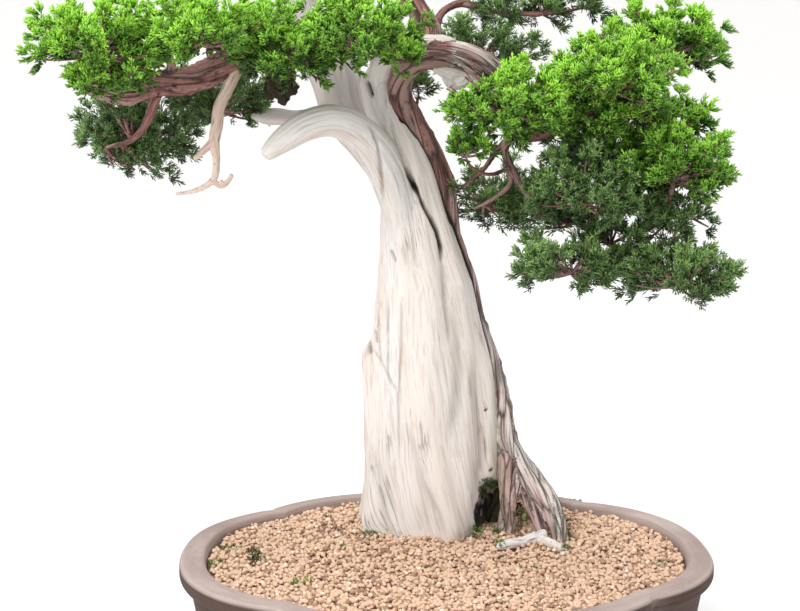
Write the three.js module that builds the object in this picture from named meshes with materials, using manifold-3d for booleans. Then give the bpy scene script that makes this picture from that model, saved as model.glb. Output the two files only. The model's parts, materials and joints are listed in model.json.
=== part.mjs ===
// A juniper bonsai in a lobed, unglazed pot.
//
// The trunk is mostly bleached deadwood. A strip of living wood climbs its right flank from the
// roots, bends over at the top and carries every branch. Lengths are millimetres. +X is to the
// right, +Y is away from the front of the pot and +Z is up. The tree is laid out round the axis
// of the pot, and the whole group is then moved so that its box is centred over the origin.

import * as THREE from 'three';
import { mergeVertices } from 'three/addons/utils/BufferGeometryUtils.js';
import Module from 'manifold-3d';

const wasm = await Module();
wasm.setup();

const { degToRad, lerp, smoothstep } = THREE.MathUtils;

// ---- Driving dimensions -------------------------------------------------------------------

const CLEARANCE = 0.35;            // between pieces that lie against one another

const POT_HALF_LENGTH = 270;       // outer rim, along the long axis of the pot
const POT_HALF_WIDTH = 225;        // outer rim, across the pot
const POT_SQUARENESS = 2.2;        // 2 is an ellipse, larger is squarer
const POT_TURN = degToRad(5);      // the pot stands slightly turned under the tree
const POT_FACETS = 56;
const LOBE_CREASE_ANGLE = degToRad(42);
const LOBE_CREASE_DEPTH = 14;
const LOBE_CREASE_SPREAD = degToRad(28);
const RIM_HEIGHT = 119;
const LIP_INNER = 244;             // inner edge of the lip, along the long axis
const FLOOR_TOP = 24;
const FLOOR_UNDERSIDE = 12;
const FOOT_LENGTH = 52;
const FOOT_WIDTH = 26;
const FOOT_SPACING = [148, 108];   // half distances between the feet
const DRAIN_RADIUS = 17;
const DRAIN_OFFSET = 95;

const SCREEN_BAR = 4;
const SCREEN_HOLE = 12;
const SCREEN_HOLES = 3;            // along each side
const SCREEN_THICKNESS = 1.2;

const SOIL_AT_WALL = 112;
const SOIL_MOUND = 2;              // rise of the soil round the trunk
const SOIL_MOUND_RADIUS = 130;
const SOIL_GRAIN = 4.5;            // height of the relief that stands for the grains

const TRUNK_FACETS = 26;
const TRUNK_RINGS = 18;

const SPRAY_RINGS = 5;             // rings of needle tips along one foliage spray
const SPRAY_STALK = 0.5;           // share of a spray that is bare stalk, inside the pad
const SPRAY_CORE = 4;              // radius of the woody core of a spray
const SPRAY_REACH = 19;            // how far the needles stand out from its axis
const NEEDLE_SWEEP = 9;            // how far a needle tip leans forward
const MIDDLE_SIDES = 12;           // facets round the dense middle of a pad
const MIDDLE_RINGS = 6;
const MIDDLE_CORE = 0.44;          // its core and its needles, as shares of the pad's half sizes
const MIDDLE_REACH = 0.86;

// ---- Materials ----------------------------------------------------------------------------

const materials = {
  pot: new THREE.MeshStandardMaterial({ color: 0x75665d, roughness: 0.8, metalness: 0 }),
  screen: new THREE.MeshStandardMaterial({ color: 0x23262a, roughness: 0.6, metalness: 0 }),
  soil: new THREE.MeshStandardMaterial({ color: 0xc79f7f, roughness: 1, metalness: 0 }),
  deadwood: new THREE.MeshStandardMaterial({ color: 0xe4dacb, roughness: 0.9, metalness: 0 }),
  jin: new THREE.MeshStandardMaterial({ color: 0xd8bda9, roughness: 0.85, metalness: 0 }),
  bark: new THREE.MeshStandardMaterial({ color: 0x745248, roughness: 0.85, metalness: 0 }),
  foliageLight: new THREE.MeshStandardMaterial({ color: 0x5aa32f, roughness: 0.7, metalness: 0 }),
  foliageDark: new THREE.MeshStandardMaterial({ color: 0x2f6b2c, roughness: 0.75, metalness: 0 }),
};

// ---- Solids -------------------------------------------------------------------------------

function solid(geometry) {
  const bare = geometry.clone();
  bare.deleteAttribute('normal');
  bare.deleteAttribute('uv');
  const merged = mergeVertices(bare, 1e-4);
  const corners = merged.index.array;
  const triangles = [];
  for (let i = 0; i < corners.length; i += 3) {
    const [a, b, c] = corners.slice(i, i + 3);
    if (a !== b && b !== c && c !== a) {
      triangles.push(a, b, c);
    }
  }
  return new wasm.Manifold(new wasm.Mesh({
    numProp: 3,
    vertProperties: merged.attributes.position.array,
    triVerts: Uint32Array.from(triangles),
  }));
}

function join(solids) {
  return solids.reduce((sum, one) => sum.add(one));
}

// The largest body of a solid, without the loose scraps that a cut leaves.
function largestBody(one) {
  const bodies = one.decompose();
  return bodies.reduce((best, body) => (body.volume() > best.volume() ? body : best));
}

function geometryOf(one) {
  const { numProp, vertProperties, triVerts } = one.getMesh();
  const positions = new Float32Array((vertProperties.length / numProp) * 3);
  for (let i = 0; i < positions.length / 3; i += 1) {
    positions.set(vertProperties.subarray(i * numProp, i * numProp + 3), i * 3);
  }
  const geometry = new THREE.BufferGeometry();
  geometry.setAttribute('position', new THREE.BufferAttribute(positions, 3));
  geometry.setIndex(new THREE.BufferAttribute(triVerts, 1));
  geometry.computeVertexNormals();
  return geometry;
}

function eachVertex(geometry, move) {
  const position = geometry.attributes.position;
  const point = new THREE.Vector3();
  for (let i = 0; i < position.count; i += 1) {
    point.fromBufferAttribute(position, i);
    move(point);
    position.setXYZ(i, point.x, point.y, point.z);
  }
  return geometry;
}

function randomSource(seed) {
  let state = seed;
  return () => {
    state = (state + 0x6d2b79f5) | 0;
    let value = Math.imul(state ^ (state >>> 15), 1 | state);
    value = (value + Math.imul(value ^ (value >>> 7), 61 | value)) ^ value;
    return ((value ^ (value >>> 14)) >>> 0) / 4294967296;
  };
}

// ---- The pot ------------------------------------------------------------------------------

// Distance from the axis of the pot to its outer rim: a squarish oval, nicked by four creases.
function rimDistance(angle) {
  const along = Math.abs(Math.cos(angle) / POT_HALF_LENGTH) ** POT_SQUARENESS;
  const across = Math.abs(Math.sin(angle) / POT_HALF_WIDTH) ** POT_SQUARENESS;
  let distance = (along + across) ** (-1 / POT_SQUARENESS);
  for (const quarter of [0, 1]) {
    for (const side of [-1, 1]) {
      const crease = quarter * Math.PI + side * LOBE_CREASE_ANGLE;
      const turn = Math.atan2(Math.sin(angle - crease), Math.cos(angle - crease));
      const nearness = Math.max(0, 1 - Math.abs(turn) / LOBE_CREASE_SPREAD);
      distance -= LOBE_CREASE_DEPTH * nearness ** 2;
    }
  }
  return distance;
}

// Turns a profile of [distance along the long axis, height] into a lobed solid.
function lobedSolid(profile) {
  const points = profile.map(([distance, height]) => new THREE.Vector2(distance, height));
  const lathe = new THREE.LatheGeometry(points, POT_FACETS);
  lathe.rotateX(Math.PI / 2);
  eachVertex(lathe, (point) => {
    const scale = rimDistance(Math.atan2(point.y, point.x)) / POT_HALF_LENGTH;
    point.x *= scale;
    point.y *= scale;
  });
  return lathe;
}

const INNER_WALL = [[224, FLOOR_TOP], [243, SOIL_AT_WALL], [LIP_INNER, RIM_HEIGHT - 3]];

function potSolid() {
  const body = solid(lobedSolid([
    [0, FLOOR_UNDERSIDE],
    [228, FLOOR_UNDERSIDE],
    [253, 52],
    [261, RIM_HEIGHT - 20],
    [268, RIM_HEIGHT - 14],
    [POT_HALF_LENGTH, RIM_HEIGHT - 4],
    [250, RIM_HEIGHT],
    ...INNER_WALL.toReversed(),
    [0, FLOOR_TOP],
  ]));
  const outline = new THREE.Shape();
  const straight = FOOT_LENGTH / 2 - FOOT_WIDTH / 2;
  outline.absarc(straight, 0, FOOT_WIDTH / 2, -Math.PI / 2, Math.PI / 2);
  outline.absarc(-straight, 0, FOOT_WIDTH / 2, Math.PI / 2, Math.PI * 1.5);
  const feet = [];
  for (const x of [-1, 1]) {
    for (const y of [-1, 1]) {
      const foot = new THREE.ExtrudeGeometry(outline, {
        depth: FLOOR_UNDERSIDE + 1,
        bevelEnabled: false,
        curveSegments: 3,
      });
      foot.rotateZ(-x * y * degToRad(38));
      foot.translate(x * FOOT_SPACING[0], y * FOOT_SPACING[1], 0);
      feet.push(solid(foot));
    }
  }
  const holes = [-1, 1].map((side) => {
    const hole = new THREE.CylinderGeometry(DRAIN_RADIUS, DRAIN_RADIUS, 40, 18);
    hole.rotateX(Math.PI / 2);
    hole.translate(side * DRAIN_OFFSET, 0, FLOOR_TOP - 8);
    return solid(hole);
  });
  return join([body, ...feet]).subtract(join(holes));
}

// ---- Mesh screens over the drain holes ----------------------------------------------------

const SCREEN_SIDE = SCREEN_HOLES * SCREEN_HOLE + (SCREEN_HOLES + 1) * SCREEN_BAR;

function screenSolid() {
  const sheet = new THREE.BoxGeometry(SCREEN_SIDE, SCREEN_SIDE, SCREEN_THICKNESS);
  const holes = [];
  for (let column = 0; column < SCREEN_HOLES; column += 1) {
    for (let row = 0; row < SCREEN_HOLES; row += 1) {
      const hole = new THREE.BoxGeometry(SCREEN_HOLE, SCREEN_HOLE, SCREEN_THICKNESS + 2);
      const [x, y] = [column, row].map((place) => (
        (place - (SCREEN_HOLES - 1) / 2) * (SCREEN_BAR + SCREEN_HOLE)
      ));
      hole.translate(x, y, 0);
      holes.push(solid(hole));
    }
  }
  return solid(sheet).subtract(join(holes));
}

// ---- Woody limbs --------------------------------------------------------------------------

// A tapering limb along a smooth route. Each station is [x, y, z, radius]. Growing it by a
// clearance gives the cutter that leaves that clearance round it.
function limb(stations, { sides = 8, rings = (stations.length - 1) * 2, grow = 0, gnarl = 0 } = {}) {
  const route = new THREE.CatmullRomCurve3(
    stations.map(([x, y, z]) => new THREE.Vector3(x, y, z)),
    false,
    'centripetal',
  );
  const frames = [];
  let normal = new THREE.Vector3(0.3, 0.9, 0.3);
  for (let ring = 0; ring <= rings; ring += 1) {
    const centre = route.getPoint(ring / rings);
    const tangent = route.getTangent(ring / rings);
    normal = normal.clone().projectOnPlane(tangent).normalize();
    const side = normal.clone().cross(tangent);
    const place = (ring / rings) * (stations.length - 1);
    const before = Math.min(Math.floor(place), stations.length - 2);
    const radius = lerp(stations[before][3], stations[before + 1][3], place - before);
    frames.push({ centre, tangent, normal, side, radius });
  }
  frames[0].centre.addScaledVector(frames[0].tangent, -grow);
  frames[rings].centre.addScaledVector(frames[rings].tangent, grow);
  const tube = new THREE.CylinderGeometry(1, 1, 1, sides, rings);
  return solid(eachVertex(tube, (point) => {
    const ring = Math.round((point.y + 0.5) * rings);
    const { centre, normal: across, side, radius } = frames[ring];
    const angle = Math.atan2(point.z, point.x);
    const ridge = 1 + gnarl * Math.sin(3 * angle + 1.1 * ring) + gnarl * Math.cos(1.7 * ring);
    const distance = Math.hypot(point.x, point.z) > 0.5 ? radius * ridge + grow : 0;
    point.copy(centre);
    point.addScaledVector(across, distance * Math.cos(angle));
    point.addScaledVector(side, distance * Math.sin(angle));
  }));
}

// ---- Deadwood trunk -----------------------------------------------------------------------

// Each section is [height, left edge, right edge, middle of the depth, half depth].
const TRUNK_SECTIONS = [
  [62, -72, 30, 108, 46],
  [106, -84, 42, 106, 62],
  [124, -89, 52, 106, 60],
  [160, -87, 60, 106, 56],
  [210, -85, 57, 105, 51],
  [255, -83, 52, 105, 47],
  [298, -83, 48, 105, 43],
  [318, -75, 44, 105, 41],
  [340, -70, 39, 105, 39],
  [380, -69, 30, 104, 35],
  [424, -67, 14, 103, 32],
  [460, -66, 2, 101, 29],
  [500, -62, -10, 98, 27],
  [530, -68, -22, 96, 25],
  [560, -82, -38, 95, 22],
  [590, -88, -46, 95, 20],
  [612, -74, -46, 95, 14],
  [624, -66, -54, 95, 6],
];

function trunkSection(height) {
  const top = TRUNK_SECTIONS.length - 1;
  let below = 0;
  while (below < top - 1 && TRUNK_SECTIONS[below + 1][0] < height) {
    below += 1;
  }
  const low = TRUNK_SECTIONS[below];
  const high = TRUNK_SECTIONS[below + 1];
  const share = (height - low[0]) / (high[0] - low[0]);
  const [, left, right, middle, depth] = low.map((value, i) => lerp(value, high[i], share));
  return { left, right, middle, depth };
}

// The flutes of the weathered grain run up the trunk with a slow twist, and the foot of the
// trunk spreads into three toes.
function flute(angle, height) {
  const grain = 0.05 * Math.sin(5 * angle + 0.011 * height)
    + 0.042 * Math.sin(9 * angle - 0.014 * height + 1);
  const toes = 0.09 * Math.cos(3 * angle + 2.2) * smoothstep(170 - height, 0, 60);
  return 1 + grain + toes;
}

function trunkLoft(grow) {
  const bottom = TRUNK_SECTIONS[0][0];
  const top = TRUNK_SECTIONS.at(-1)[0];
  const loft = new THREE.CylinderGeometry(1, 1, 1, TRUNK_FACETS, TRUNK_RINGS);
  return solid(eachVertex(loft, (point) => {
    const share = point.y + 0.5;
    const height = lerp(bottom, top, share);
    const { left, right, middle, depth } = trunkSection(height);
    const angle = Math.atan2(-point.z, point.x);
    const inside = Math.hypot(point.x, point.z) < 0.5;
    const reach = inside ? 0 : flute(angle, height);
    const edge = inside ? 0 : grow;
    const halfWidth = (right - left) / 2;
    point.x = (left + right) / 2 + (halfWidth * reach + edge) * Math.cos(angle);
    point.y = middle + (depth * reach + edge) * Math.sin(angle);
    point.z = height + (share < 0.001 ? -grow : 0) + (share > 0.999 ? grow : 0);
  }));
}

const FRONT_JIN = [
  [-40, 92, 430, 18], [-50, 84, 470, 20], [-66, 66, 512, 21], [-92, 44, 543, 18],
  [-117, 25, 553, 16], [-141, 10, 548, 15], [-163, 0, 534, 12], [-180, -8, 520, 7],
];
const BACK_STEM = [
  [-34, 110, 410, 15], [-46, 126, 462, 19], [-60, 138, 495, 21], [-78, 148, 522, 23],
  [-103, 156, 556, 27], [-116, 162, 596, 28], [-136, 168, 634, 25], [-152, 172, 674, 17],
  [-160, 174, 702, 8],
];
const STUB_JIN = [
  [-96, 152, 548, 14], [-142, 132, 553, 10], [-168, 117, 553, 9], [-188, 106, 553, 8],
  [-199, 100, 553, 5],
];
const PRONG = [[-48, 88, 500, 10], [-57, 82, 551, 11], [-64, 80, 585, 8], [-69, 80, 618, 4]];
const ARCH_CAP = [
  [-66, 88, 590, 14], [-62, 76, 614, 14], [-44, 67, 624, 12], [-22, 64, 629, 10], [0, 66, 630, 8],
  [16, 70, 626, 4],
];

// The side of the foot is rotted away, beside the living root.
const FOOT_HOLLOW = { centre: [52, 52, 126], radii: [19, 58, 46] };

function footHollow(grow) {
  const hollow = new THREE.SphereGeometry(1, 8, 6);
  return solid(eachVertex(hollow, (point) => {
    point.set(...FOOT_HOLLOW.radii.map((radius, i) => point.getComponent(i) * (radius - grow)));
    point.add(new THREE.Vector3(...FOOT_HOLLOW.centre));
  }));
}

function deadwoodSolid(grow) {
  return join([
    trunkLoft(grow).subtract(footHollow(grow)),
    limb(FRONT_JIN, { grow, sides: 7, rings: 9, gnarl: 0.05 }),
    limb(BACK_STEM, { grow, sides: 7, rings: 8, gnarl: 0.05 }),
    limb(STUB_JIN, { grow, sides: 6, rings: 3 }),
    limb(PRONG, { grow, sides: 5, rings: 3 }),
    limb(ARCH_CAP, { grow, sides: 5, rings: 6 }),
  ]);
}

// ---- Living wood: the strip of bark, its roots and the branches ------------------------------

const BARK_STRIP = [
  [129, 32, 88, 6], [124, 46, 110, 9], [118, 64, 130, 12], [104, 80, 149, 16], [88, 92, 166, 18],
  [73, 96, 184, 18], [65, 100, 204, 16], [60, 106, 228, 16], [53, 110, 264, 16], [42, 118, 302, 16],
  [29, 124, 340, 15], [19, 120, 386, 15], [4, 115, 432, 14], [-1, 101, 467, 14], [-7, 98, 495, 14],
  [-20, 94, 522, 14], [-34, 87, 548, 14], [-47, 77, 577, 13], [-44, 66, 598, 12],
  [-30, 56, 611, 12], [-10, 53, 617, 13], [14, 56, 616, 15], [37, 62, 607, 15], [54, 70, 594, 13],
  [60, 70, 574, 10],
];
const ROOTS = [
  [[90, 92, 170, 15], [75, 84, 144, 12], [68, 80, 118, 10], [64, 77, 104, 9], [62, 76, 82, 5]],
  [[100, 84, 152, 14], [108, 62, 130, 9], [115, 40, 112, 7], [118, 30, 90, 4]],
  [[98, 84, 150, 12], [96, 58, 122, 8], [94, 38, 108, 6], [93, 30, 88, 4]],
  [[72, 104, 200, 14], [90, 130, 160, 12], [106, 152, 122, 9], [112, 162, 104, 7], [116, 168, 84, 4]],
  [[84, 98, 180, 14], [68, 108, 156, 12], [56, 114, 130, 11], [50, 118, 102, 9], [48, 120, 84, 5]],
];
const LEFT_BRANCH = [
  [-12, 56, 618, 11], [-16, 78, 642, 11], [-31, 88, 666, 11], [-47, 92, 684, 11],
  [-67, 92, 692, 11], [-86, 90, 676, 12], [-103, 85, 661, 12], [-138, 75, 644, 13],
  [-179, 65, 626, 14], [-213, 55, 613, 15], [-255, 45, 594, 14], [-296, 35, 588, 13],
  [-320, 28, 580, 11], [-345, 18, 582, 8], [-362, 2, 596, 5],
];
const MAIN_RIGHT_BRANCH = [
  [56, 70, 590, 12], [61, 66, 566, 10], [67, 54, 541, 10], [90, 45, 537, 9], [114, 38, 545, 8],
  [153, 30, 560, 7], [193, 25, 556, 5], [232, 22, 549, 4],
];
const HANGING_BRANCH = [
  [67, 54, 541, 8], [60, 60, 522, 7], [67, 60, 504, 6], [85, 55, 475, 6], [106, 46, 451, 6],
  [131, 40, 450, 5], [162, 36, 431, 5], [195, 32, 408, 4], [222, 30, 400, 4], [250, 30, 405, 3],
];
const CROWN_STEM = [
  [-31, 88, 666, 10], [-48, 102, 702, 10], [-62, 110, 745, 9], [-57, 115, 792, 7], [-34, 113, 838, 4],
];
const TWIGS = [
  [[-277, 40, 592, 8], [-275, 34, 607, 6], [-276, 24, 624, 3]],
  [[-290, 36, 580, 8], [-304, 45, 548, 6], [-320, 55, 532, 5], [-348, 60, 524, 3]],
  [[-14, 72, 632, 7], [-4, 90, 660, 5], [15, 100, 670, 5], [47, 110, 664, 4], [82, 118, 650, 2.5]],
  [[15, 100, 670, 5], [60, 97, 661, 4], [117, 86, 661, 3], [158, 80, 670, 2]],
  [[-48, 102, 702, 9], [-6, 95, 732, 7], [45, 85, 752, 5], [96, 76, 760, 3]],
  [[-60, 108, 738, 8], [-108, 105, 760, 6], [-160, 96, 764, 3]],
  [[62, 60, 506, 5], [68, 70, 489, 5], [56, 78, 474, 4], [30, 88, 458, 2.5]],
  [[62, 60, 532, 5], [52, 74, 519, 5], [38, 82, 498, 4], [12, 90, 477, 2.5]],
  [[178, 34, 419, 4], [160, 30, 402, 3], [142, 26, 393, 2]],
  [[114, 38, 545, 6], [92, 15, 556, 4], [70, 2, 566, 3]],
  [[153, 30, 560, 6], [190, 70, 578, 5], [225, 105, 592, 3]],
  [[104, 42, 542, 7], [84, 96, 552, 6], [58, 160, 572, 5], [38, 228, 590, 3]],
];
const BURL = { centre: [-169, 66, 594], radii: [19, 16, 21] };

function burlSolid(grow) {
  const knob = new THREE.SphereGeometry(1, 7, 5);
  return solid(eachVertex(knob, (point) => {
    const lump = 1 + 0.13 * Math.sin(5 * point.x + 4 * point.z) + 0.1 * Math.cos(7 * point.y);
    point.multiplyScalar(lump);
    point.set(...BURL.radii.map((radius, i) => point.getComponent(i) * (radius + grow)));
    point.add(new THREE.Vector3(...BURL.centre));
  }));
}

function livingWoodSolid(grow) {
  return join([
    limb(BARK_STRIP, { grow, sides: 7, rings: 22, gnarl: 0.06 }),
    ...ROOTS.map((root) => limb(root, { grow, sides: 5, rings: root.length - 1, gnarl: 0.06 })),
    limb(LEFT_BRANCH, { grow, sides: 6, rings: 14, gnarl: 0.08 }),
    limb(MAIN_RIGHT_BRANCH, { grow, sides: 6, rings: 9, gnarl: 0.08 }),
    limb(HANGING_BRANCH, { grow, sides: 5, rings: 10, gnarl: 0.06 }),
    limb(CROWN_STEM, { grow, sides: 5, rings: 5, gnarl: 0.06 }),
    ...TWIGS.map((twig) => limb(twig, { grow, sides: 4, rings: twig.length - 1 })),
    burlSolid(grow),
  ]);
}

// ---- Loose jins and a bare root -------------------------------------------------------------

const HANGING_JIN = [
  [[-212, 52, 604, 7], [-220, 46, 584, 6], [-229, 42, 565, 6], [-231, 40, 548, 6], [-234, 38, 530, 5.5],
    [-232, 37, 514, 4], [-235, 35, 494, 3.5], [-252, 33, 483, 2.5], [-273, 31, 479, 1.5]],
  [[-233, 38, 534, 4.5], [-244, 36, 523, 3.5], [-254, 34, 514, 2]],
  [[-236, 35, 492, 3], [-227, 34, 487, 2.5], [-219, 33, 494, 2], [-217, 32, 502, 1.5]],
];
const BARE_ROOT = [
  [[109, 48, 118, 5], [100, 38, 117, 5], [84, 28, 116, 4.5], [68, 20, 114, 3.5], [58, 18, 111, 2.5]],
  [[94, 34, 117, 4.5], [108, 20, 116, 4], [126, 8, 112, 2.5]],
];

function bundle(limbs, options) {
  return join(limbs.map((stations) => limb(stations, { rings: stations.length - 1, ...options })));
}

// ---- Soil -----------------------------------------------------------------------------------

const TRUNK_FOOT = new THREE.Vector2(-20, 105);

function soilHeight(x, y, grain) {
  const away = TRUNK_FOOT.distanceTo(new THREE.Vector2(x, y)) / SOIL_MOUND_RADIUS;
  return SOIL_AT_WALL + SOIL_MOUND * Math.exp(-away * away) + SOIL_GRAIN * (grain - 0.5);
}

function soilSolid() {
  const wall = INNER_WALL.slice(0, -1).map(([distance, height]) => [distance - 0.5, height]);
  wall[0][1] = FLOOR_TOP + 0.4;
  const rings = [0.9, 0.68, 0.4, 0];
  const profile = [[0, FLOOR_TOP + 0.4], ...wall];
  for (const ring of rings) {
    profile.push([wall.at(-1)[0] * ring, SOIL_AT_WALL]);
  }
  const bed = lobedSolid(profile);
  const grains = new Map();
  const random = randomSource(71);
  eachVertex(bed, (point) => {
    const key = `${Math.round(point.x * 10)},${Math.round(point.y * 10)}`;
    const fromAxis = Math.hypot(point.x, point.y);
    const onTop = point.z === SOIL_AT_WALL && fromAxis < rimDistance(Math.atan2(point.y, point.x)) * 0.88;
    if (onTop) {
      if (!grains.has(key)) {
        grains.set(key, random());
      }
      point.z = soilHeight(point.x, point.y, grains.get(key));
    }
  });
  return solid(bed);
}

// ---- Foliage ----------------------------------------------------------------------------------

// A closed body of rings whose corners are drawn out in turn, one out and the next in, so that
// it bristles on all sides. The facets are split between the tips, never from tip to tip.
function bristledBody(sides, rings, place) {
  const body = new THREE.CylinderGeometry(1, 1, 1, sides, rings);
  const position = body.attributes.position;
  const describe = (x, y, z) => {
    const ring = Math.round((y + 0.5) * rings);
    const angle = Math.atan2(x, z);
    const column = Math.round((angle / (2 * Math.PI)) * sides) + sides;
    const isTip = ring > 0 && ring < rings && (ring + column) % 2 === 0;
    return { ring, angle, isTip, onAxis: Math.hypot(x, z) < 0.5 };
  };
  const cells = body.index.array;
  for (let cell = 0; cell < sides * rings; cell += 1) {
    const [a, b, d, , c] = cells.slice(6 * cell, 6 * cell + 6);
    if (describe(position.getX(b), position.getY(b), position.getZ(b)).isTip) {
      cells.set([a, b, c, a, c, d], 6 * cell);
    }
  }
  return solid(eachVertex(body, (point) => place(point, describe(point.x, point.y, point.z))));
}

// One spray: a slim core from base to tip, ringed by needles that lean forward.
function spray(base, tip, reach, grow = 0) {
  const axis = tip.clone().sub(base);
  const length = axis.length();
  axis.normalize();
  const across = new THREE.Vector3(0.2, 0.4, 0.9).projectOnPlane(axis).normalize();
  const side = across.clone().cross(axis);
  return bristledBody(4, SPRAY_RINGS, (point, { ring, angle, isTip, onAxis }) => {
    const share = ring / SPRAY_RINGS;
    const swell = Math.sin(Math.PI * (0.25 + 0.6 * share));
    const stalk = ring === 0 ? 1.6 : lerp(SPRAY_CORE, 1, share);
    const distance = onAxis ? 0 : (isTip ? reach * swell : stalk) + grow;
    let along = ring === 0 ? -grow : length * lerp(SPRAY_STALK, 1, share);
    along += (isTip ? NEEDLE_SWEEP : 0) + (ring === SPRAY_RINGS ? grow : 0);
    point.copy(base).addScaledVector(axis, along);
    point.addScaledVector(across, distance * Math.cos(angle));
    point.addScaledVector(side, -distance * Math.sin(angle));
  });
}

// The dense middle of a pad: a small core with short needles standing out of it all round.
function padMiddle(centre, half, phase, grow = 0) {
  return bristledBody(MIDDLE_SIDES, MIDDLE_RINGS, (point, { ring, angle, isTip, onAxis }) => {
    const climb = lerp(-0.46, 0.46, ring / MIDDLE_RINGS) * Math.PI;
    const level = onAxis ? 0 : Math.cos(climb);
    const uneven = 1 + 0.1 * Math.sin(3 * angle + phase) + 0.08 * Math.cos(5 * ring + phase);
    const size = (isTip ? MIDDLE_REACH : MIDDLE_CORE) * uneven;
    point.set(level * Math.cos(angle), level * Math.sin(angle), Math.sin(climb));
    point.multiplyScalar(size).multiply(half).addScaledVector(point.clone().normalize(), grow);
    point.add(centre);
    point.z += isTip ? 0.08 * half.z : 0;
  });
}

// Each pad grows from a root on the wood, round a centre, out to its half sizes.
const PADS = [
  {
    name: 'foliage_left_front', root: [-362, 2, 596], centre: [-330, -28, 628],
    half: [74, 62, 52], sprays: 4, light: true,
  },
  {
    name: 'foliage_left_upper', root: [-276, 24, 622], centre: [-234, -58, 636],
    half: [58, 52, 46], sprays: 4, light: true,
  },
  {
    name: 'foliage_left_inner', root: [-179, 65, 626], centre: [-166, -8, 626],
    half: [52, 46, 44], sprays: 3, light: true,
  },
  {
    name: 'foliage_left_tip', root: [-103, 85, 661], centre: [-92, -42, 632],
    half: [58, 48, 40], sprays: 3, light: false,
  },
  {
    name: 'foliage_left_lower', root: [-340, 58, 526], centre: [-322, 108, 528],
    half: [68, 60, 46], sprays: 3, light: false,
  },
  {
    name: 'foliage_left_back', root: [-255, 48, 594], centre: [-240, 126, 552],
    half: [52, 56, 40], sprays: 3, light: false,
  },
  {
    name: 'foliage_right_front', root: [70, 2, 566], centre: [50, -30, 570],
    half: [66, 58, 50], sprays: 4, light: true,
  },
  {
    name: 'foliage_right_mid', root: [153, 30, 562], centre: [154, -44, 588],
    half: [66, 58, 50], sprays: 4, light: true,
  },
  {
    name: 'foliage_right_back', root: [225, 105, 592], centre: [224, 74, 614],
    half: [66, 60, 48], sprays: 3, light: false,
  },
  {
    name: 'foliage_right_deep', root: [190, 70, 578], centre: [163, 86, 522],
    half: [68, 50, 42], sprays: 3, light: false,
  },
  {
    name: 'foliage_right_low_front', root: [131, 40, 450], centre: [130, -20, 486],
    half: [52, 54, 44], sprays: 3, light: false,
  },
  {
    name: 'foliage_right_outer', root: [232, 22, 549], centre: [220, -8, 489],
    half: [60, 56, 50], sprays: 3, light: false,
  },
  {
    name: 'foliage_right_low', root: [162, 32, 404], centre: [122, -6, 408],
    half: [54, 46, 32], sprays: 3, light: false,
  },
  {
    name: 'foliage_right_low_outer', root: [246, 30, 405], centre: [222, -18, 400],
    half: [60, 50, 38], sprays: 3, light: false,
  },
  {
    name: 'foliage_right_inner', root: [30, 88, 458], centre: [62, 126, 462],
    half: [64, 48, 40], sprays: 3, light: false,
  },
  {
    name: 'foliage_top_right', root: [158, 80, 670], centre: [104, 96, 698],
    half: [84, 58, 34], sprays: 3, light: false,
  },
  {
    name: 'foliage_crown_right', root: [96, 76, 760], centre: [108, 66, 786],
    half: [88, 74, 48], sprays: 3, light: true,
  },
  {
    name: 'foliage_crown_left', root: [-160, 96, 764], centre: [-170, 84, 786],
    half: [88, 74, 48], sprays: 3, light: true,
  },
  {
    name: 'foliage_crown_top', root: [-34, 113, 838], centre: [-32, 106, 864],
    half: [84, 76, 46], sprays: 3, light: true,
  },
  {
    name: 'foliage_back', root: [38, 228, 590], centre: [34, 250, 602],
    half: [72, 60, 42], sprays: 3, light: false,
  },
];

const TRIES = 14;
const TIP_TURN = degToRad(137.5);
const GUARD = 0.6;                 // kept round a pad while the next ones are laid out
const PAD_LIFTS = [0, 6, 12, 18];
const PAD_SIZES = [1, 0.94, 0.88, 0.82, 0.76, 0.7, 0.6, 0.5];

function stemOf(pad, grow = 0) {
  return limb([[...pad.root, 4], [...pad.centre, 3]], { sides: 4, rings: 1, grow });
}

// Lifts the middle of a pad, or draws it in, until it is clear of the wood and the other pads.
function clearMiddle(pad, index, taken) {
  for (const size of PAD_SIZES) {
    for (const lift of PAD_LIFTS) {
      const centre = new THREE.Vector3(...pad.centre).add(new THREE.Vector3(0, 0, lift));
      const half = new THREE.Vector3(...pad.half).multiplyScalar(size);
      const guard = padMiddle(centre, half, index, GUARD);
      if (guard.intersect(taken).isEmpty()) {
        return { centre, half, guard };
      }
    }
  }
  throw new Error(`${pad.name} has no clear place`);
}

// The sprays of a pad fan out and up from its middle. One that would meet the wood, another pad
// or another spray is bent to another side, and left out if no side is free.
function padSolid(pad, index, taken) {
  const random = randomSource(500 + index);
  const { centre, half, guard: middleGuard } = clearMiddle(pad, index, taken);
  const middle = padMiddle(centre, half, index);
  const bodies = [stemOf(pad), middle];
  const guards = [middleGuard];
  const heads = [];
  for (let i = 0; i < pad.sprays; i += 1) {
    const rise = lerp(-0.15, 0.75, (i + 0.5) / pad.sprays);
    const level = Math.sqrt(1 - rise * rise);
    for (let attempt = 0; attempt < TRIES; attempt += 1) {
      const turn = i * TIP_TURN + random() * 0.4 + attempt * 0.7;
      const aim = new THREE.Vector3(level * Math.cos(turn), level * Math.sin(turn), rise);
      const tip = centre.clone().add(aim.multiply(half));
      const reach = SPRAY_REACH * lerp(0.85, 1.1, random());
      const head = spray(centre, tip, reach);
      const outside = head.subtract(middle);
      const guard = spray(centre, tip, reach, GUARD);
      const free = heads.every((other) => other.intersect(outside).isEmpty());
      if (free && guard.intersect(taken).isEmpty()) {
        heads.push(outside);
        bodies.push(head);
        guards.push(guard);
        break;
      }
    }
  }
  return { body: join(bodies), guard: join(guards) };
}

// ---- Assembly -----------------------------------------------------------------------------------

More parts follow.
